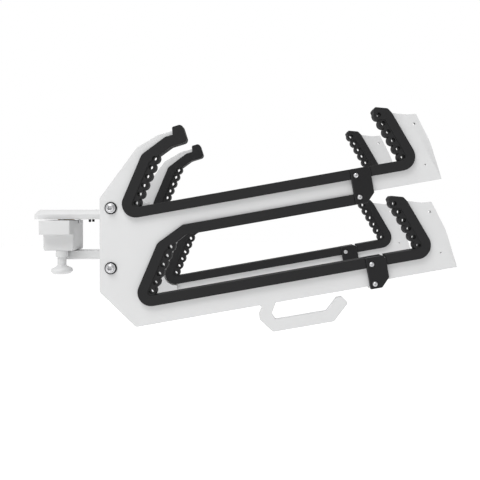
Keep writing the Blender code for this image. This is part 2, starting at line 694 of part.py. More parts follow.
def web():
    """Make the upright web that joins the swing arms and the cross tubes."""
    low, high = LOWER_ARM_Z[2] + GAP, TOP_ARM_Z[0] - GAP
    inner, right = ARM_RIGHT + 0.4, 170.0
    outline = [(102, low), (inner, low), (inner, CROSS_Z["lower"] + 8.7), (right, CROSS_Z["lower"] + 8.7),
               (right, CROSS_Z["upper"] - 8.7), (inner, CROSS_Z["upper"] - 8.7), (inner, high), (102, high)]
    made = extrusion("swing_web", outline, MIDDLE_Y - WEB_HALF, MIDDLE_Y + WEB_HALF, "white")
    for z in CROSS_Z.values():
        boolean(made, cylinder((CROSS_X, z), TUBE_RADIUS + GAP, -20, 120, "y"))
    drills = [cylinder(WEB_SCREW_PLACE, WEB_SCREW[0] + GAP, *span, sides=16)
              for span in ((TOP_ARM_Z[2] - 40, high + 5), (low - 5, LOWER_ARM_Z[0] + 40))]
    boolean(made, joined("drills", drills))
    return made


def cross_tubes():
    """Make the two tubes that hold the forks apart."""
    front = FORK_Y["front"] + PLATE / 2 + FLANGE_PLATE + 2 * GAP
    rear = FORK_Y["rear"] - PLATE / 2 - FLANGE_PLATE - 2 * GAP
    for name, z in CROSS_Z.items():
        extrusion(f"cross_tube_{name}", circle(CROSS_X, z, TUBE_RADIUS), front, rear, "white",
                  [circle(CROSS_X, z, TUBE_BORE)])


def flange_plates():
    """Make the stiffening plates on the forks' inner faces."""
    outline = rounded([(137, 98, 4), (170, 98, 4), (171, 74, 6), (196, 49, 8), (240, 46, 8), (246, 4, 6),
                       (213, -86, 0), (212, -98, 0), (214.5, -111, 0), (222.5, -122, 0),
                       (235, -128.6, 0), (249, -129.6, 0), (249, -161, 3), (212, -167, 6),
                       (137, -97, 6)])
    holes = [circle(CROSS_X, z, TUBE_BORE) for z in CROSS_Z.values()]
    front = FORK_Y["front"] + PLATE / 2 + GAP
    rear = FORK_Y["rear"] - PLATE / 2 - GAP
    extrusion("flange_plate_front", outline, front, front + FLANGE_PLATE, "white", holes)
    extrusion("flange_plate_rear", outline, rear - FLANGE_PLATE, rear, "white", holes)


def small_arm_pieces():
    """Make the grub screws and the stop pin under the top arm."""
    for name, place in GRUB_PLACES.items():
        turned(f"arm_grub_screw_{name}", [(0, 47.5), (2.2, 47.5), (3, 48.3), (3, 62), (0, 62)], place,
               "black", sides=12)
    turned("stop_pin", [(0, 44), (2, 44), (2.5, 44.8), (2.5, 64), (0, 64)], STOP_PLACE, "steel", sides=12)


# ---------------------------------------------------------------- index plunger

def plunger_pieces():
    """Make the plunger's body, pin, knob and spring, under the hub."""
    floor = -22.0
    turned("plunger_body", [(PIN_RADIUS + 0.4, -25), (10.4, -25), (10.4, -35), (13, -35), (14, -34),
                            (14, -19.8), (9.7, -19.8), (9.7, 22), (7.3, 22), (7.3, floor),
                            (PIN_RADIUS + 0.4, floor)], PLUNGER, "white")
    flange = 11.0
    turned("plunger_pin", [(0, -68), (3, -68), (3, -57.3), (PIN_RADIUS - 0.5, -57.3),
                           (PIN_RADIUS - 0.5, -30.3), (PIN_RADIUS - 0.5, -28), (PIN_RADIUS, -27.6),
                           (PIN_RADIUS, flange), (7, flange), (7, flange + 2.5),
                           (PIN_RADIUS, flange + 2.5), (PIN_RADIUS, PIN_TOP - 1.5),
                           (PIN_RADIUS - 1.5, PIN_TOP), (0, PIN_TOP)], PLUNGER, "steel")
    knob(KNOB_RADIUS)
    spring(floor + GAP, flange - GAP)


def knob(rim):
    """Make the pull knob with the socket that its pin screws into."""
    socket = PIN_RADIUS - 0.2
    return turned("pull_knob", [(0, -74.5), (rim - 7.5, -74.5), (rim - 1.5, -71.8), (rim, -67.5),
                                (rim - 2.3, -62.6), (10, -55.5), (10, -30), (socket, -30),
                                (socket, -57.7), (3.3, -57.7), (3.3, -70), (0, -70)], PLUNGER, "white")


def spring(low, high):
    """Make the coil spring round the plunger's pin."""
    wire, radius, turns, per_turn, sides = 0.6, 6.3, 6, 10, 5
    steps = turns * per_turn
    points, faces = [], []
    for i in range(steps + 1):
        angle = math.tau * i / per_turn
        z = low + wire + (high - low - 2 * wire) * i / steps
        for k in range(sides):
            turn = math.tau * k / sides
            r = radius + wire * math.cos(turn)
            points.append((PLUNGER[0] + r * math.cos(angle), PLUNGER[1] + r * math.sin(angle),
                           z + wire * math.sin(turn)))
    for i in range(steps):
        for k in range(sides):
            a, b = i * sides + k, i * sides + (k + 1) % sides
            faces.append((a, a + sides, b + sides, b))
    last = steps * sides
    faces += [tuple(range(sides)), tuple(range(last, last + sides))[::-1]]
    return new_object("plunger_spring", points, faces, "steel")


# ---------------------------------------------------------------- assembly

def ends():
    """Make the four sliding ends with their liners."""
    shift = FORK_Y["rear"] - FORK_Y["front"]
    for slot in SLOT_ORIGIN:
        plate_piece = end_plate(f"end_plate_front_{slot}", slot)
        rubber = liner(f"end_liner_front_{slot}", slot, end_liner_outline(slot), FINGER_WALL,
                       FIRST_LOBE["finger"], end_plate_outline(slot))
        copied(plate_piece, f"end_plate_rear_{slot}", shift)
        copied(rubber, f"end_liner_rear_{slot}", shift)


def forks():
    """Make the two forks with their liners and clamps."""
    shift = FORK_Y["rear"] - FORK_Y["front"]
    for side, y in FORK_Y.items():
        fork(f"fork_{side}", side == "front", y)
        for slot in SLOT_ORIGIN:
            clamp_plate(f"clamp_{side}_{slot}_outer", slot, y, -1)
            clamp_plate(f"clamp_{side}_{slot}_inner", slot, y, 1)
    for slot, outline in (("upper", upper_liner_outline()), ("lower", lower_liner_outline())):
        made = liner(f"liner_front_{slot}", slot, outline, LEFT_WALL, FIRST_LOBE["wall"],
                     fork_outline(False))
        copied(made, f"liner_rear_{slot}", shift)


def main():
    """Clear the scene and make every piece of the rack."""
    for item in list(bpy.data.objects):
        bpy.data.objects.remove(item)
    hub_block()
    pivot_pieces()
    plunger_pieces()
    top_arm()
    lower_arm()
    web()
    web_screws()
    cross_tubes()
    flange_plates()
    small_arm_pieces()
    forks()
    ends()
    fork_bolts()
    clamp_screws()


main()
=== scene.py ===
"""Looks of a swing-out board rack for a boat tower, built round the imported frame.

Sizes are in millimetres and become metres where a mesh is made. +X runs along the arms, +Y
towards the rear fork and +Z up.
"""

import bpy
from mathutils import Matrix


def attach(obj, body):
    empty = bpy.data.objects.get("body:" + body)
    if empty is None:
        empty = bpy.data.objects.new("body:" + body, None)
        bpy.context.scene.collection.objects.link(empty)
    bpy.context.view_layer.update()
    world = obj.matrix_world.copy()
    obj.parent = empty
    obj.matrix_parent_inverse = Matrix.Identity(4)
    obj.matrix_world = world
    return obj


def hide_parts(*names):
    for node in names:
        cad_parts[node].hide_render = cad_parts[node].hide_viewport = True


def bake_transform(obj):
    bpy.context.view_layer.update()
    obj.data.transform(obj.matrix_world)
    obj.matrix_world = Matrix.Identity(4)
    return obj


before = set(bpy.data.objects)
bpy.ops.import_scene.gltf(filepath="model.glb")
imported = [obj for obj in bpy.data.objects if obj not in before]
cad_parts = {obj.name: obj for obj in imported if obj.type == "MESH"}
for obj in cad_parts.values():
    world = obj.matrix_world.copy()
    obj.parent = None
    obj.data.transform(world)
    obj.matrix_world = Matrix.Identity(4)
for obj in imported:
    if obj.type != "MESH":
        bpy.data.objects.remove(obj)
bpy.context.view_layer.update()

import logging
import math
from dataclasses import dataclass, field
from enum import Enum
from typing import Any, Callable, Optional, Sequence, Union

import bmesh
import bpy
from mathutils import Vector
from mathutils.geometry import tessellate_polygon

LOG = logging.getLogger("rack")
MM = 0.001
GAP = 0.3
ARC_STEP = math.radians(6)
CREASE = math.radians(32)

Point = tuple[float, float]
Point3 = tuple[float, float, float]
Corner = tuple[float, float, float]
Outline = list[Point]


# ------------------------------------------------------------------ sizes shared by the pieces

@dataclass(frozen=True)
class SlotPlan:
    """Where a slot lies; u runs along its floor and v stands square to it."""

    label: str
    origin: Point
    clamp_depth: float
    screw_levels: Point
    tilt: float = math.radians(10)

    def point(self, u: float, v: float) -> Point:
        """Return the (x, z) of a place in the slot's own frame."""
        cos, sin = math.cos(self.tilt), math.sin(self.tilt)
        return self.origin[0] + u * cos - v * sin, self.origin[1] + u * sin + v * cos

    def corners(self, places: Sequence[Corner]) -> list[Corner]:
        """Return (u, v, radius) corners as (x, z, radius) corners."""
        return [(*self.point(u, v), radius) for u, v, radius in places]


class Slot(Enum):
    """The two slots of a fork."""

    UPPER = SlotPlan("upper", (411.2, 117.8), 76.0, (-15.0, -61.6))
    LOWER = SlotPlan("lower", (444.3, -69.8), 67.0, (-15.0, -57.0))


class Side(Enum):
    """The two forks, by the Y of their plates' middles."""

    FRONT = -102.0
    REAR = 198.0

    @property
    def label(self) -> str:
        """Return the fork's word in the frame's names."""
        return self.name.lower()


@dataclass(frozen=True)
class RackSizes:
    """Sizes that several sub-assemblies share."""

    plate: float = 12.0
    middle_y: float = 48.0
    slot_pitch: float = 190.5
    joint_u: float = 278.2
    lower_arm_depth: float = 61.5
    band: float = 22.0
    finger_band: float = 20.0
    edge_cover: float = 6.0
    wall_angle: float = math.radians(57.1)
    wall_foot: Point = (-254.4, -22.0)
    shoulder: Point = (-170.7, 107.5)
    brow: Point = (-115.2, 135.6)
    inner_knee: Point = (-156.8, 88.5)
    finger_angle: float = math.radians(110.3)
    finger_foot: Point = (412.4, -22.0)
    clamp_u: Point = (257.2, 299.8)
    end_shoulder: float = 53.5
    roof_band: float = 22.7
    brow_band: float = 23.9
    cross_x: float = 157.9
    cross_z: Point = (80.7, -47.1)
    tube_radius: float = 17.0
    tube_bore: float = 6.3
    pivot: Point = (0.0, 48.0)
    plunger: Point = (4.0, 13.0)
    tongue_v: Point = (-47.0, -27.0)
    tongue_length: float = 78.0
    screw_u: float = 267.7
    washer: float = 2.0
    clamp_plate: float = 9.2

    @property
    def rear_shift(self) -> Point3:
        """Return the way from the front fork to the rear one."""
        return 0.0, Side.REAR.value - Side.FRONT.value, 0.0

    @property
    def lower_shift(self) -> Point3:
        """Return the way from the upper slot to the lower one."""
        upper, lower = Slot.UPPER.value.origin, Slot.LOWER.value.origin
        return lower[0] - upper[0], 0.0, lower[1] - upper[1]

    def brow_point(self, u: float, below: float) -> Point:
        """Return a place under the brow's outer line."""
        slope = (self.brow[1] - self.shoulder[1]) / (self.brow[0] - self.shoulder[0])
        return u, self.brow[1] + slope * (u - self.brow[0]) - below * math.hypot(1, slope)


RACK = RackSizes()


@dataclass(frozen=True)
class Wall:
    """A leaning wall of a slot that carries a row of lobes."""

    outer_foot: Point
    angle: float
    side: int
    band: float

    @property
    def foot(self) -> Point:
        """Return where the wall's inner face meets the slot's floor."""
        run = RACK.band / math.tan(self.angle)
        return self.outer_foot[0] + run + self.side * self.band / math.sin(self.angle), 0.0

    def at(self, along: float, off: float) -> Point:
        """Return the (u, v) of a place up the wall and off its face."""
        cos, sin = math.cos(self.angle), math.sin(self.angle)
        return (self.foot[0] + along * cos + self.side * off * sin,
                self.foot[1] + along * sin - self.side * off * cos)


LEFT_WALL = Wall(RACK.wall_foot, RACK.wall_angle, 1, RACK.band)
FINGER_WALL = Wall(RACK.finger_foot, RACK.finger_angle, -1, RACK.finger_band)


# ------------------------------------------------------------------ outlines

def rounded(corners: Sequence[Corner], step: float = ARC_STEP) -> Outline:
    """Return a closed outline whose corners are arcs.

    Args:
        corners: (a, b, radius) of each corner; a radius of 0 stays sharp.
        step: the widest turn between two points of an arc.

    Returns:
        The outline's points, without doubles.
    """
    outline: Outline = []
    for index, (x, z, radius) in enumerate(corners):
        corner = Vector((x, z))
        before = Vector(corners[index - 1][:2]) - corner
        after = Vector(corners[(index + 1) % len(corners)][:2]) - corner
        if radius == 0:
            outline.append((x, z))
            continue
        angle = before.angle(after)
        reach = radius / math.tan(angle / 2)
        middle = (before.normalized() + after.normalized()).normalized()
        centre = corner + middle * (radius / math.sin(angle / 2))
        start = corner + before.normalized() * reach - centre
        end = corner + after.normalized() * reach - centre
        turn = start.angle_signed(end)
        steps = max(2, math.ceil(abs(turn) / step))
        for i in range(steps + 1):
            cos, sin = math.cos(-turn * i / steps), math.sin(-turn * i / steps)
            outline.append((centre.x + start.x * cos - start.y * sin,
                            centre.y + start.x * sin + start.y * cos))
    return [p for i, p in enumerate(outline) if math.dist(p, outline[i - 1]) > 0.02]


def circle(centre: Point, radius: float, sides: int = 48) -> Outline:
    """Return a circle as an outline."""
    return [(centre[0] + radius * math.cos(math.tau * i / sides),
             centre[1] + radius * math.sin(math.tau * i / sides)) for i in range(sides)]


def area(outline: Outline) -> float:
    """Return an outline's area, positive when it runs anticlockwise."""
    return sum(outline[i - 1][0] * outline[i][1] - outline[i][0] * outline[i - 1][1]
               for i in range(len(outline))) / 2


def leftwards(loop: Outline, distance: float) -> Outline:
    """Return a loop moved to the left of its own run, which is into its material."""
    moved: Outline = []
    for i, place in enumerate(loop):
        here = Vector(place)
        first = (here - Vector(loop[i - 1])).normalized()
        second = (Vector(loop[(i + 1) % len(loop)]) - here).normalized()
        left_a, left_b = Vector((-first.y, first.x)), Vector((-second.y, second.x))
        mitre = (left_a + left_b).normalized()
        moved.append(tuple(here + mitre * distance / max(0.3, mitre.dot(left_a))))
    return moved


def grown(outline: Outline, distance: float) -> Outline:
    """Return an outline moved outwards."""
    loop = outline if area(outline) > 0 else outline[::-1]
    return leftwards(loop, -distance)


# ------------------------------------------------------------------ meshes

class Cut(Enum):
    """What a tool does to a piece."""

    AWAY = "DIFFERENCE"
    JOIN = "UNION"


class Lie(Enum):
    """How a flat outline and its levels lie in the rack."""

    FACING = "outline in X and Z, levels along Y"
    LEVEL = "outline in X and Y, levels up Z"

    def place(self, a: float, b: float, level: float) -> Point3:
        """Return the (x, y, z) of an outline's place at a level."""
        return (a, level, b) if self is Lie.FACING else (a, b, level)


def added(name: str, data: bpy.types.ID) -> bpy.types.Object:
    """Return a new object in the scene, made from its data."""
    made = bpy.data.objects.new(name, data)
    bpy.context.scene.collection.objects.link(made)
    return made


@dataclass
class Draft:
    """Points and faces that become a closed mesh, with a number kept for each point."""

    points: list[Point3] = field(default_factory=list)
    faces: list[tuple[int, ...]] = field(default_factory=list)
    marks: dict[str, list[float]] = field(default_factory=dict)

    def make(self, name: str) -> bpy.types.Object:
        """Make the object, its faces turned outwards and its creases kept sharp."""
        mesh = bpy.data.meshes.new(name)
        mesh.from_pydata([(x * MM, y * MM, z * MM) for x, y, z in self.points], [], self.faces)
        for label, values in self.marks.items():
            mesh.attributes.new(label, "FLOAT", "POINT").data.foreach_set("value", values)
        work = bmesh.new()
        work.from_mesh(mesh)
        bmesh.ops.recalc_face_normals(work, faces=work.faces)
        loose = sum(1 for edge in work.edges if not edge.is_manifold)
        work.to_mesh(mesh)
        work.free()
        if loose:
            LOG.warning("%s has %d open edges", name, loose)
        made = added(name, mesh)
        crease(made)
        return made


def crease(piece: bpy.types.Object, angle: float = CREASE) -> None:
    """Shade a piece smooth except across its real edges."""
    piece.data.shade_smooth()
    piece.data.set_sharp_from_angle(angle=angle)


def settle(piece: bpy.types.Object) -> None:
    """Turn a piece's modifiers into its plain mesh."""
    evaluated = piece.evaluated_get(bpy.context.evaluated_depsgraph_get())
    mesh = bpy.data.meshes.new_from_object(evaluated)
    piece.modifiers.clear()
    piece.data = mesh


def carve(piece: bpy.types.Object, tool: bpy.types.Object, cut: Cut = Cut.AWAY) -> None:
    """Cut a tool from a piece, or join it on, and remove the tool."""
    modifier = piece.modifiers.new("carve", "BOOLEAN")
    modifier.operation = cut.value
    modifier.solver = "EXACT"
    modifier.object = tool
    settle(piece)
    crease(piece)
    bpy.data.objects.remove(tool)


def soften(piece: bpy.types.Object, width: float, segments: int = 3) -> None:
    """Round a plain solid's edges."""
    modifier = piece.modifiers.new("soften", "BEVEL")
    modifier.width = width * MM
    modifier.segments = segments
    modifier.limit_method = "ANGLE"
    modifier.angle_limit = math.radians(24)
    settle(piece)
    crease(piece)


def shifted(source: bpy.types.Object, name: str, way: Point3) -> bpy.types.Object:
    """Return a copy of a piece, its mesh moved by a way in millimetres."""
    mesh = source.data.copy()
    for vertex in mesh.vertices:
        vertex.co += Vector(way) * MM
    return added(name, mesh)


@dataclass
class Slab:
    """A plate cut along an outline, its rims rounded."""

    outline: Outline
    low: float
    high: float
    rim: float = 0.8
    holes: Sequence[Outline] = ()
    lie: Lie = Lie.FACING
    steps: int = 3

    def rings(self) -> list[Corner]:
        """Return (inset, level, rim mark) of each ring, from the low face to the high one."""
        if self.rim == 0:
            return [(0.0, self.low, 0.0), (0.0, self.high, 0.0)]
        low = [(self.rim * 1.2, self.low, 0.0)]
        high = [(self.rim * 1.2, self.high, 0.0)]
        for k in range(self.steps + 1):
            turn = k * math.pi / 2 / self.steps
            inset, rise = self.rim * (1 - math.sin(turn)), self.rim * (1 - math.cos(turn))
            low.append((inset, self.low + rise, 1.0))
            high.append((inset, self.high - rise, 1.0))
        low.append((0.0, self.low + self.rim * 1.2, 0.0))
        high.append((0.0, self.high - self.rim * 1.2, 0.0))
        return low + high[::-1]

    def build(self, name: str) -> bpy.types.Object:
        """Make the plate."""
        loops = [self.outline if area(self.outline) > 0 else self.outline[::-1]]
        loops += [hole if area(hole) < 0 else hole[::-1] for hole in self.holes]
        size = sum(len(loop) for loop in loops)
        rings = self.rings()
        draft, marks = Draft(), []
        for inset, level, mark in rings:
            for loop in loops:
                draft.points += [self.lie.place(*p, level) for p in leftwards(loop, inset)]
            marks += [mark] * size
        for k in range(len(rings) - 1):
            start = 0
            for loop in loops:
                for i in range(len(loop)):
                    a, b = k * size + start + i, k * size + start + (i + 1) % len(loop)
                    draft.faces.append((a, b, b + size, a + size))
                start += len(loop)
        face = [[Vector((*p, 0)) for p in leftwards(loop, rings[0][0])] for loop in loops]
        last = (len(rings) - 1) * size
        for tri in tessellate_polygon(face):
            draft.faces += [tuple(tri), tuple(i + last for i in tri)]
        draft.marks["rim"] = marks
        return draft.make(name)


class Axis(Enum):
    """The axis that a turned piece turns about."""

    UP = "z"
    BACK = "y"


Ring = Union[tuple[float, float], tuple[float, float, bool]]


@dataclass
class Turning:
    """A turned piece: rings of (radius, level) from one end round to the other.

    A third value of True makes that ring a hexagon whose radius is across its flats.
    """

    rings: Sequence[Ring]
    centre: Point = (0.0, 0.0)
    axis: Axis = Axis.UP
    sides: int = 60

    def ring(self, ring: Ring) -> list[Point3]:
        """Return one ring's points."""
        radius, level = ring[0], ring[1]
        points = []
        for i in range(self.sides if radius else 1):
            turn = math.tau * i / self.sides
            reach = radius
            if len(ring) == 3:
                reach = radius / math.cos(turn % (math.pi / 3) - math.pi / 6)
            a, b = reach * math.cos(turn), reach * math.sin(turn)
            points.append((self.centre[0] + a, self.centre[1] + b, level) if self.axis is Axis.UP
                          else (self.centre[0] + a, level, self.centre[1] + b))
        return points

    def build(self, name: str) -> bpy.types.Object:
        """Make the piece, and keep each point's radius for its turning marks."""
        draft, radii, loops = Draft(), [], []
        for ring in self.rings:
            points = self.ring(ring)
            loops.append(range(len(draft.points), len(draft.points) + len(points)))
            draft.points += points
            radii += [float(ring[0])] * len(points)
        for lower, upper in zip(loops, loops[1:] + loops[:1]):
            for i in range(self.sides):
                face = (lower[i % len(lower)], lower[(i + 1) % len(lower)],
                        upper[(i + 1) % len(upper)], upper[i % len(upper)])
                face = tuple(dict.fromkeys(face))
                if len(face) > 2:
                    draft.faces.append(face)
        draft.marks["turned"] = radii
        return draft.make(name)


def bar(centre: Point, radius: float, low: float, high: float, axis: Axis = Axis.UP,
        sides: int = 48) -> bpy.types.Object:
    """Make a plain round bar as a tool."""
    return Turning([(0, low), (radius, low), (radius, high), (0, high)], centre, axis, sides).build("bar")


def loft(name: str, levels: Sequence[tuple[float, Outline]]) -> bpy.types.Object:
    """Make a solid through plan outlines of one point count, from the bottom up."""
    draft, count = Draft(), len(levels[0][1])
    for z, outline in levels:
        draft.points += [(x, y, z) for x, y in outline]
    for k in range(len(levels) - 1):
        for i in range(count):
            a, b = k * count + i, k * count + (i + 1) % count
            draft.faces.append((a, b, b + count, a + count))
    top = (len(levels) - 1) * count
    draft.faces += [tuple(range(count))[::-1], tuple(range(top, top + count))]
    return draft.make(name)


# ------------------------------------------------------------------ node graphs

class Wire:
    """A value or colour on its way between nodes; sums on it add Math nodes."""

    def __init__(self, graph: "Graph", socket: bpy.types.NodeSocket) -> None:
        """Keep a socket and the graph it belongs to."""
        self.graph = graph
        self.socket = socket

    def sum(self, operation: str, first: Any, second: Any) -> "Wire":
        """Return one Math node's result."""
        return self.graph.add("ShaderNodeMath", {"operation": operation}, {0: first, 1: second})

    def __add__(self, other: Any) -> "Wire":
        """Return self + other."""
        return self.sum("ADD", self, other)

    def __radd__(self, other: Any) -> "Wire":
        """Return other + self."""
        return self.sum("ADD", other, self)

    def __sub__(self, other: Any) -> "Wire":
        """Return self - other."""
        return self.sum("SUBTRACT", self, other)

    def __mul__(self, other: Any) -> "Wire":
        """Return self * other."""
        return self.sum("MULTIPLY", self, other)

    def __rmul__(self, other: Any) -> "Wire":
        """Return other * self."""
        return self.sum("MULTIPLY", other, self)


class Graph:
    """Adds nodes to a tree and joins them."""

    def __init__(self, tree: bpy.types.NodeTree) -> None:
        """Keep the tree."""
        self.tree = tree

    def add(self, kind: str, settings: Optional[dict[str, Any]] = None,
            sockets: Optional[dict[Any, Any]] = None, output: Any = 0) -> Wire:
        """Add a node.

        Args:
            kind: the node's type.
            settings: its own settings, set first.
            sockets: values, wires or lists of wires for its inputs.
            output: which output to return.

        Returns:
            The wire that leaves the node.
        """
        node = self.tree.nodes.new(kind)
        for key, value in (settings or {}).items():
            setattr(node, key, value)
        for key, value in (sockets or {}).items():
            for item in value if isinstance(value, list) else [value]:
                if isinstance(item, Wire):
                    self.tree.links.new(item.socket, node.inputs[key])
                else:
                    node.inputs[key].default_value = item
        outputs = node.outputs
        return Wire(self, outputs[output]) if len(outputs) else Wire(self, None)


class Surface(Graph):
    """A material's graph, with the patterns that the finishes share."""

    def __init__(self, name: str) -> None:
        """Make an empty material."""
        self.material = bpy.data.materials.new(name)
        self.material.use_nodes = True
        self.material.node_tree.nodes.clear()
        super().__init__(self.material.node_tree)
        self.place = self.add("ShaderNodeTexCoord", output="Object")

    def noise(self, size: float, detail: float = 2.0, stretch: Point3 = (1.0, 1.0, 1.0)) -> Wire:
        """Return a noise from 0 to 1 whose grain is about size millimetres across."""
        place = self.add("ShaderNodeMapping", {"vector_type": "POINT"},
                         {"Vector": self.place, "Scale": stretch})
        return self.add("ShaderNodeTexNoise", {"noise_dimensions": "3D"},
                        {"Vector": place, "Scale": 1.0 / (size * MM), "Detail": detail})

    def mark(self, label: str) -> Wire:
        """Return a number kept on the mesh's points."""
        return self.add("ShaderNodeAttribute", {"attribute_name": label}, output="Fac")

    def mix(self, factor: Wire, first: Point3, second: Point3) -> Wire:
        """Return a colour between two."""
        return self.add("ShaderNodeMix", {"data_type": "RGBA"},
                        {0: factor, 6: (*first, 1.0), 7: (*second, 1.0)}, output=2)

    def bump(self, height: Wire, depth: float, under: Optional[Wire] = None) -> Wire:
        """Return a normal raised by a height, depth being in millimetres."""
        sockets: dict[Any, Any] = {"Height": height, "Distance": depth * MM, "Strength": 1.0}
        if under is not None:
            sockets["Normal"] = under
        return self.add("ShaderNodeBump", sockets=sockets)

    def close(self, varying: dict[str, Wire], constant: dict[str, Any]) -> bpy.types.Material:
        """Finish the material from what varies and what is the same all over."""
        shader = self.add("ShaderNodeBsdfPrincipled", sockets={**constant, **varying}, output="BSDF")
        self.add("ShaderNodeOutputMaterial", sockets={"Surface": shader})
        return self.material


@dataclass(frozen=True)
class PowderCoat:
    """A satin powder coat with a faint orange peel, thinner along its rims."""

    name: str = "satin_white_coat"
    tone: Point3 = (0.62, 0.622, 0.624)
    thin: Point3 = (0.56, 0.562, 0.564)
    roughness: float = 0.42
    peel: float = 2.2
    peel_depth: float = 0.035
    grain: float = 0.35

    def material(self) -> bpy.types.Material:
        """Return the coat's material."""
        surface = Surface(self.name)
        rim = surface.mark("rim")
        cloud, peel, grain = surface.noise(60), surface.noise(self.peel, 3), surface.noise(self.grain, 1)
        base = surface.mix(0.35 * rim + 0.5 * cloud, self.tone, self.thin)
        rough = self.roughness + 0.10 * (grain - 0.5) + 0.06 * (cloud - 0.5) - 0.06 * rim
        normal = surface.bump(grain, 0.004, surface.bump(peel, self.peel_depth))
        return surface.close({"Base Color": base, "Roughness": rough, "Normal": normal},
                             {"Specular IOR Level": 0.42, "Metallic": 0.0})


@dataclass(frozen=True)
class MouldedRubber:
    """Black moulded rubber: matte, finely stippled, greyer along its rims where handled, with a painted
    sheen there too.
    """

    name: str = "moulded_rubber"
    tone: Point3 = (0.0105, 0.0105, 0.011)
    worn: Point3 = (0.027, 0.027, 0.028)
    roughness: float = 0.68
    stipple: float = 0.55

    def material(self) -> bpy.types.Material:
        """Return the rubber's material."""
        surface = Surface(self.name)
        rim, cloud = surface.mark("rim"), surface.noise(38, 3)
        stipple, drag = surface.noise(self.stipple, 2), surface.noise(5, 4, (1.0, 0.25, 1.0))
        # Rims lighten towards worn: partly real dust and wear, partly a painted sheen for light caught by
        # the rounded rims.
        base = surface.mix(0.75 * rim + 0.30 * cloud * drag, self.tone, self.worn)
        rough = self.roughness + 0.16 * (stipple - 0.5) - 0.14 * rim + 0.10 * (cloud - 0.5)
        normal = surface.bump(stipple, 0.03, surface.bump(drag, 0.04))
        return surface.close({"Base Color": base, "Roughness": rough, "Normal": normal},
                             {"Specular IOR Level": 0.24, "Metallic": 0.0})


@dataclass(frozen=True)
class AnodisedPlate:
    """Bead-blasted black anodising, brighter where its edges rub."""

    name: str = "black_anodised"
    tone: Point3 = (0.008, 0.008, 0.0085)
    rubbed: Point3 = (0.036, 0.036, 0.038)
    roughness: float = 0.50
    blast: float = 0.25

    def material(self) -> bpy.types.Material:
        """Return the anodised plate's material."""
        surface = Surface(self.name)
        rim, blast, cloud = surface.mark("rim"), surface.noise(self.blast, 1), surface.noise(16, 3)
        base = surface.mix(rim * (0.4 + 0.5 * cloud) + 0.12 * blast, self.tone, self.rubbed)
        rough = self.roughness + 0.18 * (blast - 0.5) - 0.12 * rim
        return surface.close({"Base Color": base, "Roughness": rough,
                              "Normal": surface.bump(blast, 0.012)},
                             {"Specular IOR Level": 0.2, "Metallic": 0.0})


@dataclass(frozen=True)
class TurnedMetal:
    """Bare turned metal with fine rings about its own axis."""

    name: str
    tone: Point3
    dull: Point3
    roughness: float
    ring_pitch: float = 0.28
    ring_depth: float = 0.012

    def material(self) -> bpy.types.Material:
        """Return the metal's material."""
        surface = Surface(self.name)
        radius = surface.mark("turned")
        wave = surface.add("ShaderNodeMath", {"operation": "SINE"},
                           {0: radius * (math.tau / self.ring_pitch)})
        smear, speck = surface.noise(3.5, 3), surface.noise(0.3, 1)
        base = surface.mix(0.75 * smear + 0.12 * wave, self.tone, self.dull)
        rough = self.roughness + 0.14 * (smear - 0.5) + 0.05 * wave + 0.05 * (speck - 0.5)
        normal = surface.bump(speck, 0.003, surface.bump(wave, self.ring_depth))
        return surface.close({"Base Color": base, "Roughness": rough, "Normal": normal},
                             {"Metallic": 1.0})


class Finish(Enum):
    """The rack's finishes, each with the frame's slot for it."""

    WHITE = (PowderCoat(), "white_coat")
    RUBBER = (MouldedRubber(), "rubber")
    BLACK = (AnodisedPlate(), "black_plate")
    STEEL = (TurnedMetal("stainless", (0.36, 0.357, 0.354), (0.27, 0.268, 0.265), 0.50), "stainless")
    SPRING = (TurnedMetal("spring_wire", (0.42, 0.42, 0.43), (0.30, 0.30, 0.31), 0.30), "stainless")
    BRONZE = (TurnedMetal("bearing_bronze", (0.55, 0.37, 0.17), (0.38, 0.25, 0.11), 0.40), "bronze")

    def material(self) -> bpy.types.Material:
        """Return the finish's material, made once."""
        found = bpy.data.materials.get(self.value[0].name)
        return found or self.value[0].material()


class Repeat:
    """A geometry tree with named inputs, run on a piece and turned into a plain mesh."""

    def __init__(self, name: str, inputs: dict[str, str]) -> None:
        """Make the tree's inputs and its one output.

        Args:
            name: the tree's name.
            inputs: each input's name and socket type.
        """
        self.tree = bpy.data.node_groups.new(name, "GeometryNodeTree")
        self.graph = Graph(self.tree)
        for label, kind in {"Geometry": "NodeSocketGeometry", **inputs}.items():
            self.tree.interface.new_socket(label, in_out="INPUT", socket_type=kind)
        self.tree.interface.new_socket("Geometry", in_out="OUTPUT", socket_type="NodeSocketGeometry")
        self.group = self.tree.nodes.new("NodeGroupInput")

    def given(self, label: str) -> Wire:
        """Return a named input."""
        return Wire(self.graph, self.group.outputs[label])

    def solid(self, label: str) -> Wire:
        """Return the mesh of an object input."""
        return self.graph.add("GeometryNodeObjectInfo", {"transform_space": "ORIGINAL"},
                              {"Object": self.given(label)}, output="Geometry")

    def end(self, geometry: Wire) -> None:
        """End the tree in plain geometry with its material."""
        plain = self.graph.add("GeometryNodeRealizeInstances", sockets={"Geometry": geometry})
        dressed = self.graph.add("GeometryNodeSetMaterial",
                                 sockets={"Geometry": plain, "Material": self.given("Material")})
        self.graph.add("NodeGroupOutput", sockets={"Geometry": dressed})

    def run(self, piece: bpy.types.Object, values: dict[str, Any]) -> bpy.types.Object:
        """Run the tree on a piece and leave the plain result in it."""
        modifier = piece.modifiers.new("repeat", "NODES")
        modifier.node_group = self.tree
        names = {item.name: item.identifier for item in self.tree.interface.items_tree
                 if item.in_out == "INPUT"}
        for label, value in values.items():
            modifier[names[label]] = value
        settle(piece)
        crease(piece)
        return piece


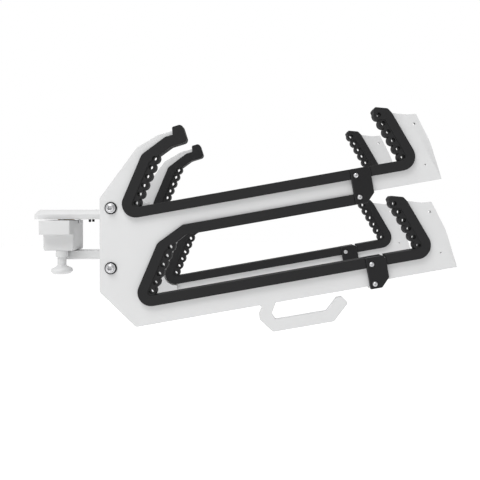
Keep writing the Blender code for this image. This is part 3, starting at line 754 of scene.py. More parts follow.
class ScrewRow(Repeat):
    """Sets one screw at each point of a piece."""

    def __init__(self) -> None:
        """Make the tree."""
        super().__init__("screw_row", {"Screw": "NodeSocketObject", "Turn": "NodeSocketVector",
                                       "Material": "NodeSocketMaterial"})
        self.end(self.graph.add("GeometryNodeInstanceOnPoints", sockets={
            "Points": self.given("Geometry"), "Instance": self.solid("Screw"),
            "Rotation": self.given("Turn")}))

    def place(self, name: str, screw: bpy.types.Object, places: Sequence[Point3], turn: float = 0.0,
              finish: Finish = Finish.STEEL) -> bpy.types.Object:
        """Return a piece with a screw at each place, turned about Z."""
        mesh = bpy.data.meshes.new(name)
        mesh.from_pydata([tuple(v * MM for v in place) for place in places], [], [])
        return self.run(added(name, mesh), {"Screw": screw, "Turn": (0.0, 0.0, turn),
                                            "Material": finish.material()})


class LobedChannel(Repeat):
    """Grows a row of hollow lobes on a rubber channel and sinks the plate's groove into it."""

    def __init__(self) -> None:
        """Make the tree: body and lobes joined, bores and groove cut away."""
        super().__init__("lobed_channel", {
            "Lobe": "NodeSocketObject", "Bore": "NodeSocketObject", "Groove": "NodeSocketObject",
            "Start": "NodeSocketVector", "Bore Start": "NodeSocketVector", "Step": "NodeSocketVector",
            "Lobes": "NodeSocketInt", "Bores": "NodeSocketInt", "Material": "NodeSocketMaterial"})
        lobes = self.row("Lobes", "Start", "Lobe")
        bores = self.row("Bores", "Bore Start", "Bore")
        whole = self.graph.add("GeometryNodeMeshBoolean", {"operation": "UNION", "solver": "EXACT"},
                               {"Mesh 2": [self.given("Geometry"), lobes], "Self Intersection": True})
        self.end(self.graph.add("GeometryNodeMeshBoolean", {"operation": "DIFFERENCE", "solver": "EXACT"},
                                {"Mesh 1": whole, "Mesh 2": [bores, self.solid("Groove")]}))

    def row(self, count: str, start: str, shape: str) -> Wire:
        """Return a shape repeated along the wall."""
        line = self.graph.add("GeometryNodeMeshLine", {"mode": "OFFSET"}, {
            "Count": self.given(count), "Start Location": self.given(start), "Offset": self.given("Step")})
        row = self.graph.add("GeometryNodeInstanceOnPoints",
                             sockets={"Points": line, "Instance": self.solid(shape)})
        return self.graph.add("GeometryNodeRealizeInstances", sockets={"Geometry": row})


# ------------------------------------------------------------------ handing over

def hand_over(piece: bpy.types.Object, body: str, finish: Finish, nodes: Sequence[str]) -> None:
    """Dress a piece, let it stand for frame nodes, and make it move with a body.

    Args:
        piece: the finished object.
        body: the body it rides on.
        finish: what it is made of.
        nodes: the frame's nodes that it stands for.
    """
    piece.data.materials.clear()
    piece.data.materials.append(finish.material())
    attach(piece, body)
    if nodes:
        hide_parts(*nodes)
    LOG.info("%s: %d faces on %s", piece.name, len(piece.data.polygons), body)


# ------------------------------------------------------------------ forks and their ends

@dataclass
class LobeRow:
    """The lobes that grip a board's edge."""

    radius: float = 12.0
    half_width: float = 12.2
    lift: float = 4.5
    pitch: float = 20.5
    count: int = 6
    bore: float = 4.5
    bore_lift: float = 6.5

    def lobe(self) -> bpy.types.Object:
        """Make one lobe, its ends rounded."""
        end, r = self.half_width, self.radius
        return Turning([(0, -end), (r - 1.6, -end), (r - 0.9, -end + 0.15), (r - 0.3, -end + 0.6),
                        (r, -end + 1.5), (r, end - 1.5), (r - 0.3, end - 0.6), (r - 0.9, end - 0.15),
                        (r - 1.6, end), (0, end)], axis=Axis.BACK, sides=48).build("lobe")

    def hollow(self) -> bpy.types.Object:
        """Make the tool for one lobe's bore, flared at both mouths."""
        end, r = self.half_width, self.bore
        return Turning([(0, -end - 4), (r + 0.3, -end - 4), (r + 0.3, -end), (r, -end + 0.5),
                        (r, end - 0.5), (r + 0.3, end), (r + 0.3, end + 4), (0, end + 4)],
                       axis=Axis.BACK, sides=36).build("bore")


@dataclass
class Liners:
    """Rubber channels of the forks' slots and of the sliding ends."""

    half: float = 14.0
    rim: float = 1.5
    channel_half: float = 6.3
    first: dict[str, float] = field(default_factory=lambda: {"wall": 14.5, "finger": 9.8})
    lobes: LobeRow = field(default_factory=LobeRow)

    def upper(self) -> Outline:
        """Return the upper slot's channel, which ends in a hooked cap."""
        start = RACK.clamp_u[0] - 0.4
        return rounded(Slot.UPPER.value.corners([
            (start, -RACK.band, 0), (*RACK.wall_foot, 28.8), (*RACK.shoulder, 20), (*RACK.brow, 15),
            (-98.8, 137.4, 1), (-97.2, 153.8, 4), (-75.2, 156.5, 8), (-70, 118, 9),
            (*RACK.brow_point(-106, RACK.brow_band), 15),
            (*RACK.inner_knee, 8), (*LEFT_WALL.foot, 7), (start, 0, 0)]))

    def lower(self) -> Outline:
        """Return the lower slot's channel, which runs on under the middle arm."""
        start = RACK.clamp_u[0] - 0.4
        top = RACK.slot_pitch - RACK.end_shoulder
        roof = top - RACK.roof_band
        return rounded(Slot.LOWER.value.corners([
            (start, -RACK.band, 0), (*RACK.wall_foot, 28.8), (*RACK.shoulder, 20), (-110.5, top, 15),
            (start, top, 0), (start, roof, 0), (-108.6, roof, 15), (*RACK.inner_knee, 8),
            (*LEFT_WALL.foot, 7), (start, 0, 0)]))

    def end(self) -> Outline:
        """Return the upper sliding end's channel, capped over its finger."""
        start = RACK.clamp_u[1] + 0.6
        return rounded(Slot.UPPER.value.corners([
            (start, -RACK.band, 0), (*RACK.finger_foot, 30), (366, 103.1, 6), (359.2, 113.5, 6),
            (333.5, 120.6, 3), (327.5, 114.5, 3), (331.5, 94.5, 3), (*FINGER_WALL.at(97, 0), 3),
            (*FINGER_WALL.foot, 8), (start, 0, 0)]))

    def channel(self, name: str, slot: Slot, outline: Outline, wall: Wall, first: float,
                plate: Outline) -> bpy.types.Object:
        """Make one channel on the front fork.

        Args:
            name: the piece's name.
            slot: the slot that it lines.
            outline: its side view.
            wall: the wall that carries the lobes.
            first: the first lobe's place up the wall.
            plate: the outline of the plate that it sits on.

        Returns:
            The channel with its hollow lobes and its groove.
        """
        y, row, plan = Side.FRONT.value, self.lobes, slot.value
        piece = Slab(outline, y - self.half, y + self.half, self.rim, steps=4).build(name)
        groove = Slab(grown(plate, GAP), y - self.channel_half, y + self.channel_half, 0).build("groove")

        def at(along: float, off: float) -> Vector:
            x, z = plan.point(*wall.at(along, off))
            return Vector((x, y, z)) * MM

        tools = {"Lobe": row.lobe(), "Bore": row.hollow(), "Groove": groove}
        step = at(first + row.pitch, row.lift) - at(first, row.lift)
        LOBED.run(piece, {**tools, "Start": tuple(at(first, row.lift)), "Step": tuple(step),
                          "Bore Start": tuple(at(first, row.bore_lift)), "Lobes": row.count,
                          "Bores": row.count, "Material": Finish.RUBBER.material()})
        for tool in tools.values():
            bpy.data.objects.remove(tool)
        return piece

    def build(self, forks: "Forks", ends: "Ends") -> None:
        """Make every channel and hand it over."""
        for slot, outline in ((Slot.UPPER, self.upper()), (Slot.LOWER, self.lower())):
            label = slot.value.label
            piece = self.channel(f"rubber_channel_front_{label}", slot, outline, LEFT_WALL,
                                 self.first["wall"], forks.outline(False))
            rear = shifted(piece, f"rubber_channel_rear_{label}", RACK.rear_shift)
            hand_over(piece, "rack", Finish.RUBBER, [f"liner_front_{label}"])
            hand_over(rear, "rack", Finish.RUBBER, [f"liner_rear_{label}"])
        first = self.channel("rubber_end", Slot.UPPER, self.end(), FINGER_WALL, self.first["finger"],
                             ends.outline())
        ends.spread(first, "rubber_end", "end_liner", Finish.RUBBER)


@dataclass
class Forks:
    """The two slotted plates that carry the boards."""

    rim: float = 0.9
    screw_hole: float = 3.3
    knee_cover: Point = (-3.4, 5.3)
    roof_corner: float = -97.6

    def slot_edge(self, slot: Slot) -> list[Corner]:
        """Return the plate's edge round a slot's floor and left wall."""
        cover, angle = RACK.edge_cover, RACK.wall_angle
        foot = (LEFT_WALL.foot[0] - cover / math.sin(angle) - cover / math.tan(angle), -cover)
        knee = (RACK.inner_knee[0] + self.knee_cover[0], RACK.inner_knee[1] + self.knee_cover[1])
        return slot.value.corners([(RACK.joint_u, -cover, 0), (*foot, 12), (*knee, 10)])

    def outline(self, hooked: bool) -> Outline:
        """Return a fork plate's outline; the front fork has the open hanging hook."""
        roof = RACK.slot_pitch - RACK.end_shoulder - RACK.roof_band + RACK.edge_cover
        low, up = Slot.LOWER.value, Slot.UPPER.value
        lower = self.slot_edge(Slot.LOWER)
        lower += low.corners([(self.roof_corner, roof, 15), (RACK.joint_u, roof, 0)])
        upper = self.slot_edge(Slot.UPPER) + up.corners([
            (*RACK.brow_point(-102, RACK.band - RACK.edge_cover), 6), (-86, 121, 3), (-79, 128, 3),
            (-80, 140, 5), (-88, 147, 3), (-100.4, 146.4, 6), (-130.2, 143.6, 15),
            (-179.2, 125.2, 15)])
        left = [(133.4, 102.2, 8), (133.4, -98, 8), (210.8, -172.8, 8)]
        hook = [(474.2, -126.5, 1.5), (479.5, -130.6, 3), (472.7, -144.2, 5), (474.2, -156.4, 5),
                (502.8, -183, 8), (633.1, -160.6, 8), (663, -121.2, 6), (649.3, -107.5, 3),
                (637.8, -110.3, 3), (616.7, -138, 6), (508.1, -156.4, 6), (500, -144.2, 5),
                (508.7, -120.4, 1.5)]
        foot = low.corners([(256, -RACK.lower_arm_depth, 0), (258, -66, 0), (RACK.joint_u, -66, 0)])
        return rounded(left + (hook if hooked else []) + foot + lower + upper)

    def build(self) -> None:
        """Make both plates with their holes and tongue grooves."""
        for side in Side:
            y = side.value
            holes = [circle((RACK.cross_x, z), RACK.tube_bore) for z in RACK.cross_z]
            holes += [circle(slot.value.point(RACK.screw_u, v), self.screw_hole, 24)
                      for slot in Slot for v in slot.value.screw_levels]
            plate = Slab(self.outline(side is Side.FRONT), y - RACK.plate / 2, y + RACK.plate / 2,
                         self.rim, holes).build(f"coated_fork_{side.label}")
            for slot in Slot:
                low, high = RACK.tongue_v
                start, stop = RACK.joint_u - RACK.tongue_length - 2, RACK.joint_u + 5
                groove = [slot.value.point(u, v) for u, v in (
                    (start, low - GAP), (stop, low - GAP), (stop, high + GAP), (start, high + GAP))]
                carve(plate, Slab(groove, y - 0.2, y + RACK.plate, 0).build("groove"))
            hand_over(plate, "rack", Finish.WHITE, [f"fork_{side.label}"])


@dataclass
class Ends:
    """The four sliding ends, each a plate with a folded-back corner and a tongue."""

    rim: float = 0.9
    fold: tuple[Point, Point] = ((398.3, 94.5), (448.2, -53.5))
    fall: float = 0.13
    reach: float = 80.0
    strap_hole: Point = (411.0, 72.3)
    small_hole: Point = (419.4, -17.3)

    def outline(self) -> Outline:
        """Return the upper end's plate, without its tongue."""
        start = RACK.joint_u + 0.4
        return rounded(Slot.UPPER.value.corners([
            (start, -RACK.edge_cover, 0), (391.6, -RACK.edge_cover, 14), (351.1, 103.5, 1),
            (349, 108, 2), (357.5, 109, 2), (366, 104.2, 1), (*self.fold[0], 0), (419.1, 93, 3),
            (438.9, 27.5, 120), (*self.fold[1], 0), (start, -RACK.end_shoulder, 0)]))

    def facet(self, face: float) -> bpy.types.Object:
        """Make the wedge that takes the corner's facet off the plate's front."""
        plan, (a, b) = Slot.UPPER.value, (Vector(p) for p in self.fold)
        along = (b - a).normalized()
        out = Vector((-along.y, along.x))
        draft = Draft()
        for end in (a - along * self.reach, b + along * self.reach):
            near, far = plan.point(*end), plan.point(*(end + out * self.reach))
            draft.points += [(near[0], face - 0.01, near[1]),
                             (far[0], face + self.fall * self.reach, far[1]),
                             (far[0], face - self.reach / 4, far[1]),
                             (near[0], face - self.reach / 4, near[1])]
        draft.faces = [(0, 1, 2, 3), (7, 6, 5, 4), (4, 5, 1, 0), (5, 6, 2, 1), (6, 7, 3, 2), (7, 4, 0, 3)]
        return draft.make("wedge")

    def spread(self, first: bpy.types.Object, name: str, node: str, finish: Finish) -> None:
        """Copy the front upper end's piece to all four ends and hand them over."""
        for side in Side:
            for slot in Slot:
                way = Vector(RACK.rear_shift if side is Side.REAR else (0, 0, 0))
                way += Vector(RACK.lower_shift if slot is Slot.LOWER else (0, 0, 0))
                tail = f"{side.label}_{slot.value.label}"
                hand_over(shifted(first, f"{name}_{tail}", tuple(way)), f"end_{tail}", finish,
                          [f"{node}_{tail}"])
        bpy.data.objects.remove(first)

    def build(self) -> None:
        """Make one end plate and set it at all four places."""
        y, plan = Side.FRONT.value, Slot.UPPER.value
        holes = [circle(plan.point(*self.strap_hole), 3.2, 32),
                 circle(plan.point(*self.small_hole), 1.3, 20)]
        first = Slab(self.outline(), y - RACK.plate / 2, y + RACK.plate / 2, self.rim, holes).build("end")
        low, high = RACK.tongue_v
        start, stop = RACK.joint_u + 0.4 - RACK.tongue_length, RACK.joint_u + 10
        tongue = [plan.point(u, v) for u, v in ((start, low), (stop, low), (stop, high), (start, high))]
        carve(first, Slab(tongue, y + 0.1, y + 5.7, 0.5).build("tongue"), Cut.JOIN)
        carve(first, self.facet(y - RACK.plate / 2))
        self.spread(first, "coated_end", "end_plate", Finish.WHITE)


@dataclass
class Clamps:
    """Plates on both sides of each fork that hold a sliding end, and their screws."""

    chamfer: float = 7.0
    rim: float = 0.7
    screw_hole: float = 3.3

    def outline(self, slot: Slot) -> Outline:
        """Return a clamp plate's outline."""
        (left, right), depth = RACK.clamp_u, slot.value.clamp_depth
        return rounded(slot.value.corners([
            (left, 0, 1.2), (left, -depth, 1.2), (right - 18, -depth, 1.5), (right, -depth + 19, 1.5),
            (right, -self.chamfer, 1.5), (right - self.chamfer, 0, 1.5)]))

    def screw(self) -> bpy.types.Object:
        """Make one button-head screw, its seat at the origin and its head to the front."""
        rings: list[Ring] = [(0, 30), (2.6, 30), (3, 29.4), (3, 0), (5.2, 0), (5.3, -0.2), (5.3, -0.6),
                             (5.15, -1.2), (4.8, -1.8), (4.2, -2.5), (3.5, -3.05), (2.9, -3.3),
                             (2.45, -3.3), (2.0, -3.1, True), (2.0, 1.2, True), (0, 1.8)]
        return Turning(rings, axis=Axis.BACK, sides=48).build("button_screw")

    def build(self) -> None:
        """Make the plates and set a screw at each of their holes."""
        places, nodes = [], []
        for side in Side:
            for slot in Slot:
                holes = [circle(slot.value.point(RACK.screw_u, v), self.screw_hole, 24)
                         for v in slot.value.screw_levels]
                for word, way in (("outer", -1), ("inner", 1)):
                    near = side.value + way * (RACK.plate / 2 + GAP)
                    low, high = sorted((near, near + way * RACK.clamp_plate))
                    tail = f"{side.label}_{slot.value.label}_{word}"
                    plate = Slab(self.outline(slot), low, high, self.rim, holes).build(f"clamp_jaw_{tail}")
                    hand_over(plate, "rack", Finish.BLACK, [f"clamp_{tail}"])
                face = side.value - RACK.plate / 2 - RACK.clamp_plate - 2 * GAP
                for place, v in zip(("top", "bottom"), slot.value.screw_levels):
                    x, z = slot.value.point(RACK.screw_u, v)
                    places.append((x, face, z))
                    nodes.append(f"clamp_screw_{side.label}_{slot.value.label}_{place}")
        screw = self.screw()
        hand_over(SCREWS.place("clamp_button_screws", screw, places), "rack", Finish.STEEL, nodes)
        bpy.data.objects.remove(screw)


# ------------------------------------------------------------------ frame between the forks

@dataclass
class CrossFrame:
    """Tubes, stiffeners, web and bolts that join the forks to the swing arms."""

    flange: float = 8.0
    web_half: float = 10.0
    web_x: Corner = (102.0, 144.0, 170.0)
    web_z: Point = (-21.0, 54.3)
    screw_place: Point = (122.0, 48.0)
    screw_bore: float = 5.3
    saddle: float = 8.7

    def bolt(self) -> bpy.types.Object:
        """Make one fork bolt: flanged button head with a hexagonal socket."""
        rings: list[Ring] = [(0, 50), (5.4, 50), (6, 49.2), (6, 0), (10.3, 0), (10.5, -0.25),
                             (10.5, -1.3), (10.2, -1.75), (9.3, -1.9), (8.9, -2.2), (8.6, -3.2),
                             (8.0, -4.6), (7.1, -5.7), (6.2, -6.3), (5.6, -6.5), (4.9, -6.5),
                             (4.2, -6.1, True), (4.2, 1.5, True), (0, 2.5)]
        return Turning(rings, axis=Axis.BACK, sides=60).build("flanged_bolt")

    def bolts(self) -> None:
        """Set the four bolts and their dark washers."""
        bolt = self.bolt()
        for side, way in ((Side.FRONT, -1), (Side.REAR, 1)):
            near = side.value + way * (RACK.plate / 2 + GAP)
            far = near + way * RACK.washer
            places = [(RACK.cross_x, far + way * GAP, z) for z in RACK.cross_z]
            turn = 0.0 if side is Side.FRONT else math.pi
            row = SCREWS.place(f"fork_bolts_{side.label}", bolt, places, turn)
            hand_over(row, "rack", Finish.STEEL, [f"fork_bolt_{side.label}_{s}" for s in ("upper", "lower")])
            low, high = sorted((near, far))
            washer = Turning([(RACK.tube_bore, low), (12.6, low), (13, low + 0.4), (13, high - 0.4),
                              (12.6, high), (RACK.tube_bore, high)], axis=Axis.BACK).build("washer")
            spots = [(RACK.cross_x, 0.0, z) for z in RACK.cross_z]
            rings = SCREWS.place(f"dark_washers_{side.label}", washer, spots, finish=Finish.BLACK)
            hand_over(rings, "rack", Finish.BLACK,
                      [f"fork_washer_{side.label}_{s}" for s in ("upper", "lower")])
            bpy.data.objects.remove(washer)
        bpy.data.objects.remove(bolt)

    def tubes(self) -> None:
        """Make the two tubes."""
        low = Side.FRONT.value + RACK.plate / 2 + self.flange + 2 * GAP
        high = Side.REAR.value - RACK.plate / 2 - self.flange - 2 * GAP
        r, bore = RACK.tube_radius, RACK.tube_bore
        for word, z in zip(("upper", "lower"), RACK.cross_z):
            tube = Turning([(bore, low), (r - 1, low), (r - 0.3, low + 0.3), (r, low + 1), (r, high - 1),
                            (r - 0.3, high - 0.3), (r - 1, high), (bore, high)],
                           (RACK.cross_x, z), Axis.BACK, 72).build(f"coated_tube_{word}")
            hand_over(tube, "rack", Finish.WHITE, [f"cross_tube_{word}"])

    def stiffeners(self) -> None:
        """Make the plates on the forks' inner faces."""
        outline = rounded([(137, 98, 4), (170, 98, 4), (171, 74, 6), (196, 49, 8), (240, 46, 8),
                           (246, 4, 6), (213, -86, 4), (212, -98, 9), (214.5, -111, 9),
                           (222.5, -122, 9), (235, -128.6, 9), (249, -129.6, 2), (249, -161, 3),
                           (212, -167, 6), (137, -97, 6)])
        holes = [circle((RACK.cross_x, z), RACK.tube_bore) for z in RACK.cross_z]
        for side, way in ((Side.FRONT, 1), (Side.REAR, -1)):
            near = side.value + way * (RACK.plate / 2 + GAP)
            low, high = sorted((near, near + way * self.flange))
            plate = Slab(outline, low, high, 0.9, holes).build(f"coated_stiffener_{side.label}")
            hand_over(plate, "rack", Finish.WHITE, [f"flange_plate_{side.label}"])

    def web(self) -> None:
        """Make the upright web that joins the swing arms and the tubes."""
        (left, inner, right), (low, high) = self.web_x, self.web_z
        upper, lower = RACK.cross_z[0] - self.saddle, RACK.cross_z[1] + self.saddle
        outline = rounded([(left, low, 1), (inner, low, 0), (inner, lower, 0), (right, lower, 1),
                           (right, upper, 1), (inner, upper, 0), (inner, high, 0), (left, high, 1)])
        web = Slab(outline, RACK.middle_y - self.web_half, RACK.middle_y + self.web_half,
                   0.8).build("coated_web")
        for z in RACK.cross_z:
            carve(web, bar((RACK.cross_x, z), RACK.tube_radius + GAP, -20, 120, Axis.BACK))
        for span in ((37.3, high + 5), (low - 5, -3)):
            carve(web, bar(self.screw_place, self.screw_bore, *span))
        hand_over(web, "rack", Finish.WHITE, ["swing_web"])

    def build(self) -> None:
        """Make every piece between the forks."""
        self.bolts()
        self.tubes()
        self.stiffeners()
        self.web()


# ------------------------------------------------------------------ swivel bracket

@dataclass
class SwingArms:
    """The two swing arms, their screws and the pivot's bolt and nut."""

    top_z: Corner = (54.6, 66.7, 77.3)
    top_half: float = 45.0
    top_left: float = -65.0
    cut: float = 16.0
    low_z: Corner = (-43.0, -38.0, -21.3)
    low_half: float = 20.0
    right: float = 143.6
    shaft: float = 10.0
    pin: float = 5.0
    index_radius: float = math.dist(RACK.pivot, RACK.plunger)
    index_start: float = math.degrees(math.atan2(RACK.plunger[1] - RACK.pivot[1],
                                                 RACK.plunger[0] - RACK.pivot[0]))
    index_steps: Corner = (0.0, 45.0, 90.0)
    index_top: float = 65.6
    groove_top: float = 60.9
    bolt_seat: float = 66.4
    nut_seat: float = -33.7
    head_hole: float = 15.3
    screw_place: Point = (122.0, 48.0)
    grubs: tuple[Point, Point] = ((62.4, 36.0), (62.4, 60.0))
    stop: Point = (38.8, 32.0)

    def top_plan(self, inset: float) -> Outline:
        """Return the upper arm's plan, drawn in by its bevel."""
        left, cut = self.top_left + inset, self.cut - inset * 0.4
        front, rear = (RACK.middle_y + way * (self.top_half - inset) for way in (-1, 1))
        return [(left + cut, front), (self.right, front), (self.right, rear), (left + cut, rear),
                (left, rear - cut), (left, front + cut)]

    def low_plan(self, inset: float) -> Outline:
        """Return the lower arm's plan, round at the pivot."""
        half = self.low_half - inset
        arc = [(-half * math.sin(math.pi * i / 32), RACK.middle_y - half * math.cos(math.pi * i / 32))
               for i in range(33)]
        return [(self.right, RACK.middle_y + half), *arc[::-1], (self.right, RACK.middle_y - half)]

    def index_place(self, degrees: float) -> Point:
        """Return a place on the index circle."""
        turn = math.radians(degrees)
        return (RACK.pivot[0] + self.index_radius * math.cos(turn),
                RACK.pivot[1] + self.index_radius * math.sin(turn))

    def index_groove(self) -> bpy.types.Object:
        """Make the tool for the curved groove that the plunger's tip runs in."""
        half, steps, cap = self.pin + 0.7, 30, 12
        first = math.radians(self.index_start - self.index_steps[-1])
        last = math.radians(self.index_start)
        outline: Outline = []
        for radius, (start, stop) in ((self.index_radius + half, (first, last)),
                                      (self.index_radius - half, (last, first))):
            for i in range(steps + 1):
                turn = start + (stop - start) * i / steps
                outline.append((RACK.pivot[0] + radius * math.cos(turn),
                                RACK.pivot[1] + radius * math.sin(turn)))
            centre = self.index_place(math.degrees(stop))
            facing = stop if radius > self.index_radius else stop + math.pi
            for i in range(1, cap):
                turn = facing + math.pi * i / cap
                outline.append((centre[0] + half * math.cos(turn), centre[1] + half * math.sin(turn)))
        return Slab(outline, self.top_z[0] - 5, self.groove_top, 0, lie=Lie.LEVEL).build("groove")

    def sunk_hole(self, face: float, up: int) -> bpy.types.Object:
        """Make the tool for a counterbored screw hole from an arm's outer face."""
        rings = [(0, -40), (5.3, -40), (5.3, -10), (8.3, -10), (8.3, -0.7), (9.0, 0), (9.0, 5), (0, 5)]
        return Turning([(r, face + up * level) for r, level in rings], self.screw_place).build("sunk")

    def top_arm(self) -> None:
        """Make the bevelled upper arm."""
        low, edge, high = self.top_z
        arm = loft("coated_top_arm", [(low, self.top_plan(0)), (edge, self.top_plan(0)),
                                      (high, self.top_plan(high - edge))])
        soften(arm, 1.0)
        x, shaft = RACK.cross_x, self.shaft + GAP
        carve(arm, bar((x, RACK.cross_z[0]), RACK.tube_radius + GAP, -60, 160, Axis.BACK, 72))
        seat, head = self.bolt_seat, self.head_hole
        carve(arm, Turning([(0, low - 5), (shaft, low - 5), (shaft, seat), (head, seat),
                            (head, high - 0.6), (head + 0.6, high), (head + 0.6, high + 5),
                            (0, high + 5)], RACK.pivot).build("seat"))
        carve(arm, self.index_groove())
        for turn in self.index_steps:
            hole = bar(self.index_place(self.index_start - turn), self.pin + 0.4,
                       self.groove_top - 3, self.index_top)
            carve(arm, hole)
        for place in self.grubs:
            carve(arm, bar(place, 3.3, low - 5, 64, sides=32))
        carve(arm, bar(self.stop, 2.8, low - 5, 66, sides=32))
        carve(arm, self.sunk_hole(high, 1))
        hand_over(arm, "rack", Finish.WHITE, ["top_arm"])

    def low_arm(self) -> None:
        """Make the lower arm, bevelled below."""
        low, edge, high = self.low_z
        arm = loft("coated_lower_arm", [(low, self.low_plan(edge - low)), (edge, self.low_plan(0)),
                                        (high, self.low_plan(0))])
        soften(arm, 0.8)
        carve(arm, bar((RACK.cross_x, RACK.cross_z[1]), RACK.tube_radius + GAP, -60, 160, Axis.BACK, 72))
        shaft, seat, head = self.shaft + GAP, self.nut_seat, self.head_hole
        carve(arm, Turning([(0, low - 5), (head + 0.6, low - 5), (head + 0.6, low), (head, low + 0.6),
                            (head, seat), (shaft, seat), (shaft, high + 5), (0, high + 5)],
                           RACK.pivot).build("seat"))
        carve(arm, self.sunk_hole(low, -1))
        hand_over(arm, "rack", Finish.WHITE, ["lower_arm"])

    def pivot(self) -> None:
        """Make the pivot's bolt and nut."""
        low, top = self.low_z[0] + 0.4, self.top_z[2] - GAP
        rings: list[Ring] = [(0, low), (7.2, low), (8, low + 0.8), (8, -33.4), (10, -33.4), (10, 66.7),
                             (15, 66.7), (15, top - 1), (14.7, top - 0.3), (14, top), (6.4, top),
                             (5.2, top - 0.5, True), (5.2, top - 6, True), (0, top - 7.6)]
        bolt = Turning(rings, RACK.pivot, sides=72).build("pivot_bolt_turned")
        hand_over(bolt, "rack", Finish.STEEL, ["pivot_bolt"])
        nut = Turning([(8.3, low + 0.6), (8.9, low), (14.2, low), (15, low + 0.8), (15, -34), (8.3, -34)],
                      RACK.pivot, sides=72).build("pivot_nut_turned")
        hand_over(nut, "rack", Finish.STEEL, ["pivot_nut"])

    def small_pieces(self) -> None:
        """Make the sunk web screws, the grub screws and the stop pin."""
        for word, face, up in (("upper", self.top_z[2], 1), ("lower", self.low_z[0], -1)):
            rings: list[Ring] = [(0, -38), (4.4, -38), (5, -37.4), (5, -9.7), (8, -9.7), (8, -1.4),
                                 (7.8, -0.8), (7.2, -0.6), (4.9, -0.6), (4, -1, True), (4, -5, True),
                                 (0, -6)]
            rings = [(ring[0], face + up * ring[1], *ring[2:]) for ring in rings]
            screw = Turning(rings, self.screw_place).build(f"web_cap_screw_{word}")
            hand_over(screw, "rack", Finish.STEEL, [f"web_screw_{word}"])
        grub = Turning([(0, 50.5), (1.6, 50, True), (1.6, 47.5, True), (2.2, 47.5), (2.8, 48), (3, 48.6),
                        (3, 62), (0, 62)], sides=36).build("grub")
        row = SCREWS.place("grub_screws", grub, [(*place, 0.0) for place in self.grubs],
                           finish=Finish.BLACK)
        hand_over(row, "rack", Finish.BLACK, ["arm_grub_screw_front", "arm_grub_screw_rear"])
        bpy.data.objects.remove(grub)
        pin = Turning([(0, 44), (1.4, 44), (2.1, 44.3), (2.5, 45), (2.5, 64), (0, 64)], self.stop,
                      sides=36).build("stop_pin_turned")
        hand_over(pin, "rack", Finish.STEEL, ["stop_pin"])

    def build(self) -> None:
        """Make the arms and what holds them."""
        self.top_arm()
        self.low_arm()
        self.pivot()
        self.small_pieces()


@dataclass
class Hub:
    """The stepped block that seats against the tower's adapter bar, and its bushes."""

    half: float = 36.0
    rear: float = 72.0
    step: float = 23.0
    levels: Corner = (-19.5, 19.5, 52.0)
    rim: float = 1.2
    bush: float = 13.7
    inner: float = 10.3
    trim: tuple[float, float, float, float] = (29.0, 36.5, 41.0, 7.5)
    seat_holes: tuple[Point, ...] = ((-20.0, 3.3), (0.0, 6.6), (20.0, 3.3))

    def block(self) -> None:
        """Make the block."""
        low, step, high = self.levels
        plan = rounded([(-self.half, 0, 3), (self.half, 0, 3), (self.half, self.rear, 12),
                        (-self.half, self.rear, 12)])
        block = Slab(plan, low, high, self.rim, lie=Lie.LEVEL).build("coated_hub")
        side = self.half - 0.02
        ledge = rounded([(-side, -self.step, 2.5), (side, -self.step, 2.5), (side, 30, 0), (-side, 30, 0)])
        carve(block, Slab(ledge, step, high - 0.02, self.rim, lie=Lie.LEVEL).build("ledge"), Cut.JOIN)
        for way in (-1, 1):
            foot, edge, reach, rise = self.trim
            trim = [(way * foot, low - 5), (way * reach, low - 5), (way * reach, low + rise),
                    (way * edge, low + rise)]
            carve(block, Slab(trim, -30, 90, 0).build("trim"))
        bore = self.bush + GAP
        carve(block, Turning([(0, low - 5), (bore + 0.8, low - 5), (bore + 0.8, low), (bore, low + 0.8),
                              (bore, high - 0.8), (bore + 0.8, high), (bore + 0.8, high + 5),
                              (0, high + 5)], RACK.pivot).build("bore"))
        carve(block, Turning([(0, low - 5), (10, low - 5), (10, 22.5), (5.3, 22.5), (5.3, high + 5),
                              (0, high + 5)], RACK.plunger).build("bore"))
        for x, radius in self.seat_holes:
            carve(block, bar((x, -self.step / 2), radius, step - 5, high + 5, sides=40))
        hand_over(block, "mount", Finish.WHITE, ["hub_block"])

    def bushes(self) -> None:
        """Make the two flanged bushes."""
        b, i = self.bush, self.inner
        upper = [(i, 30), (b, 30), (b, 52.3), (18.6, 52.3), (19, 52.7), (19, 53.9), (18.6, 54.3),
                 (i + 0.5, 54.3), (i, 53.8)]
        lower = [(i, -20.5), (i + 0.5, -21), (18.6, -21), (19, -20.7), (19, -20.1), (18.6, -19.8),
                 (b, -19.8), (b, 4), (i, 4)]
        for word, rings in (("upper", upper), ("lower", lower)):
            bush = Turning(rings, RACK.pivot, sides=72).build(f"bronze_bush_{word}")
            hand_over(bush, "mount", Finish.BRONZE, [f"pivot_bush_{word}"])

    def build(self) -> None:
        """Make the block and its bushes."""
        self.block()
        self.bushes()


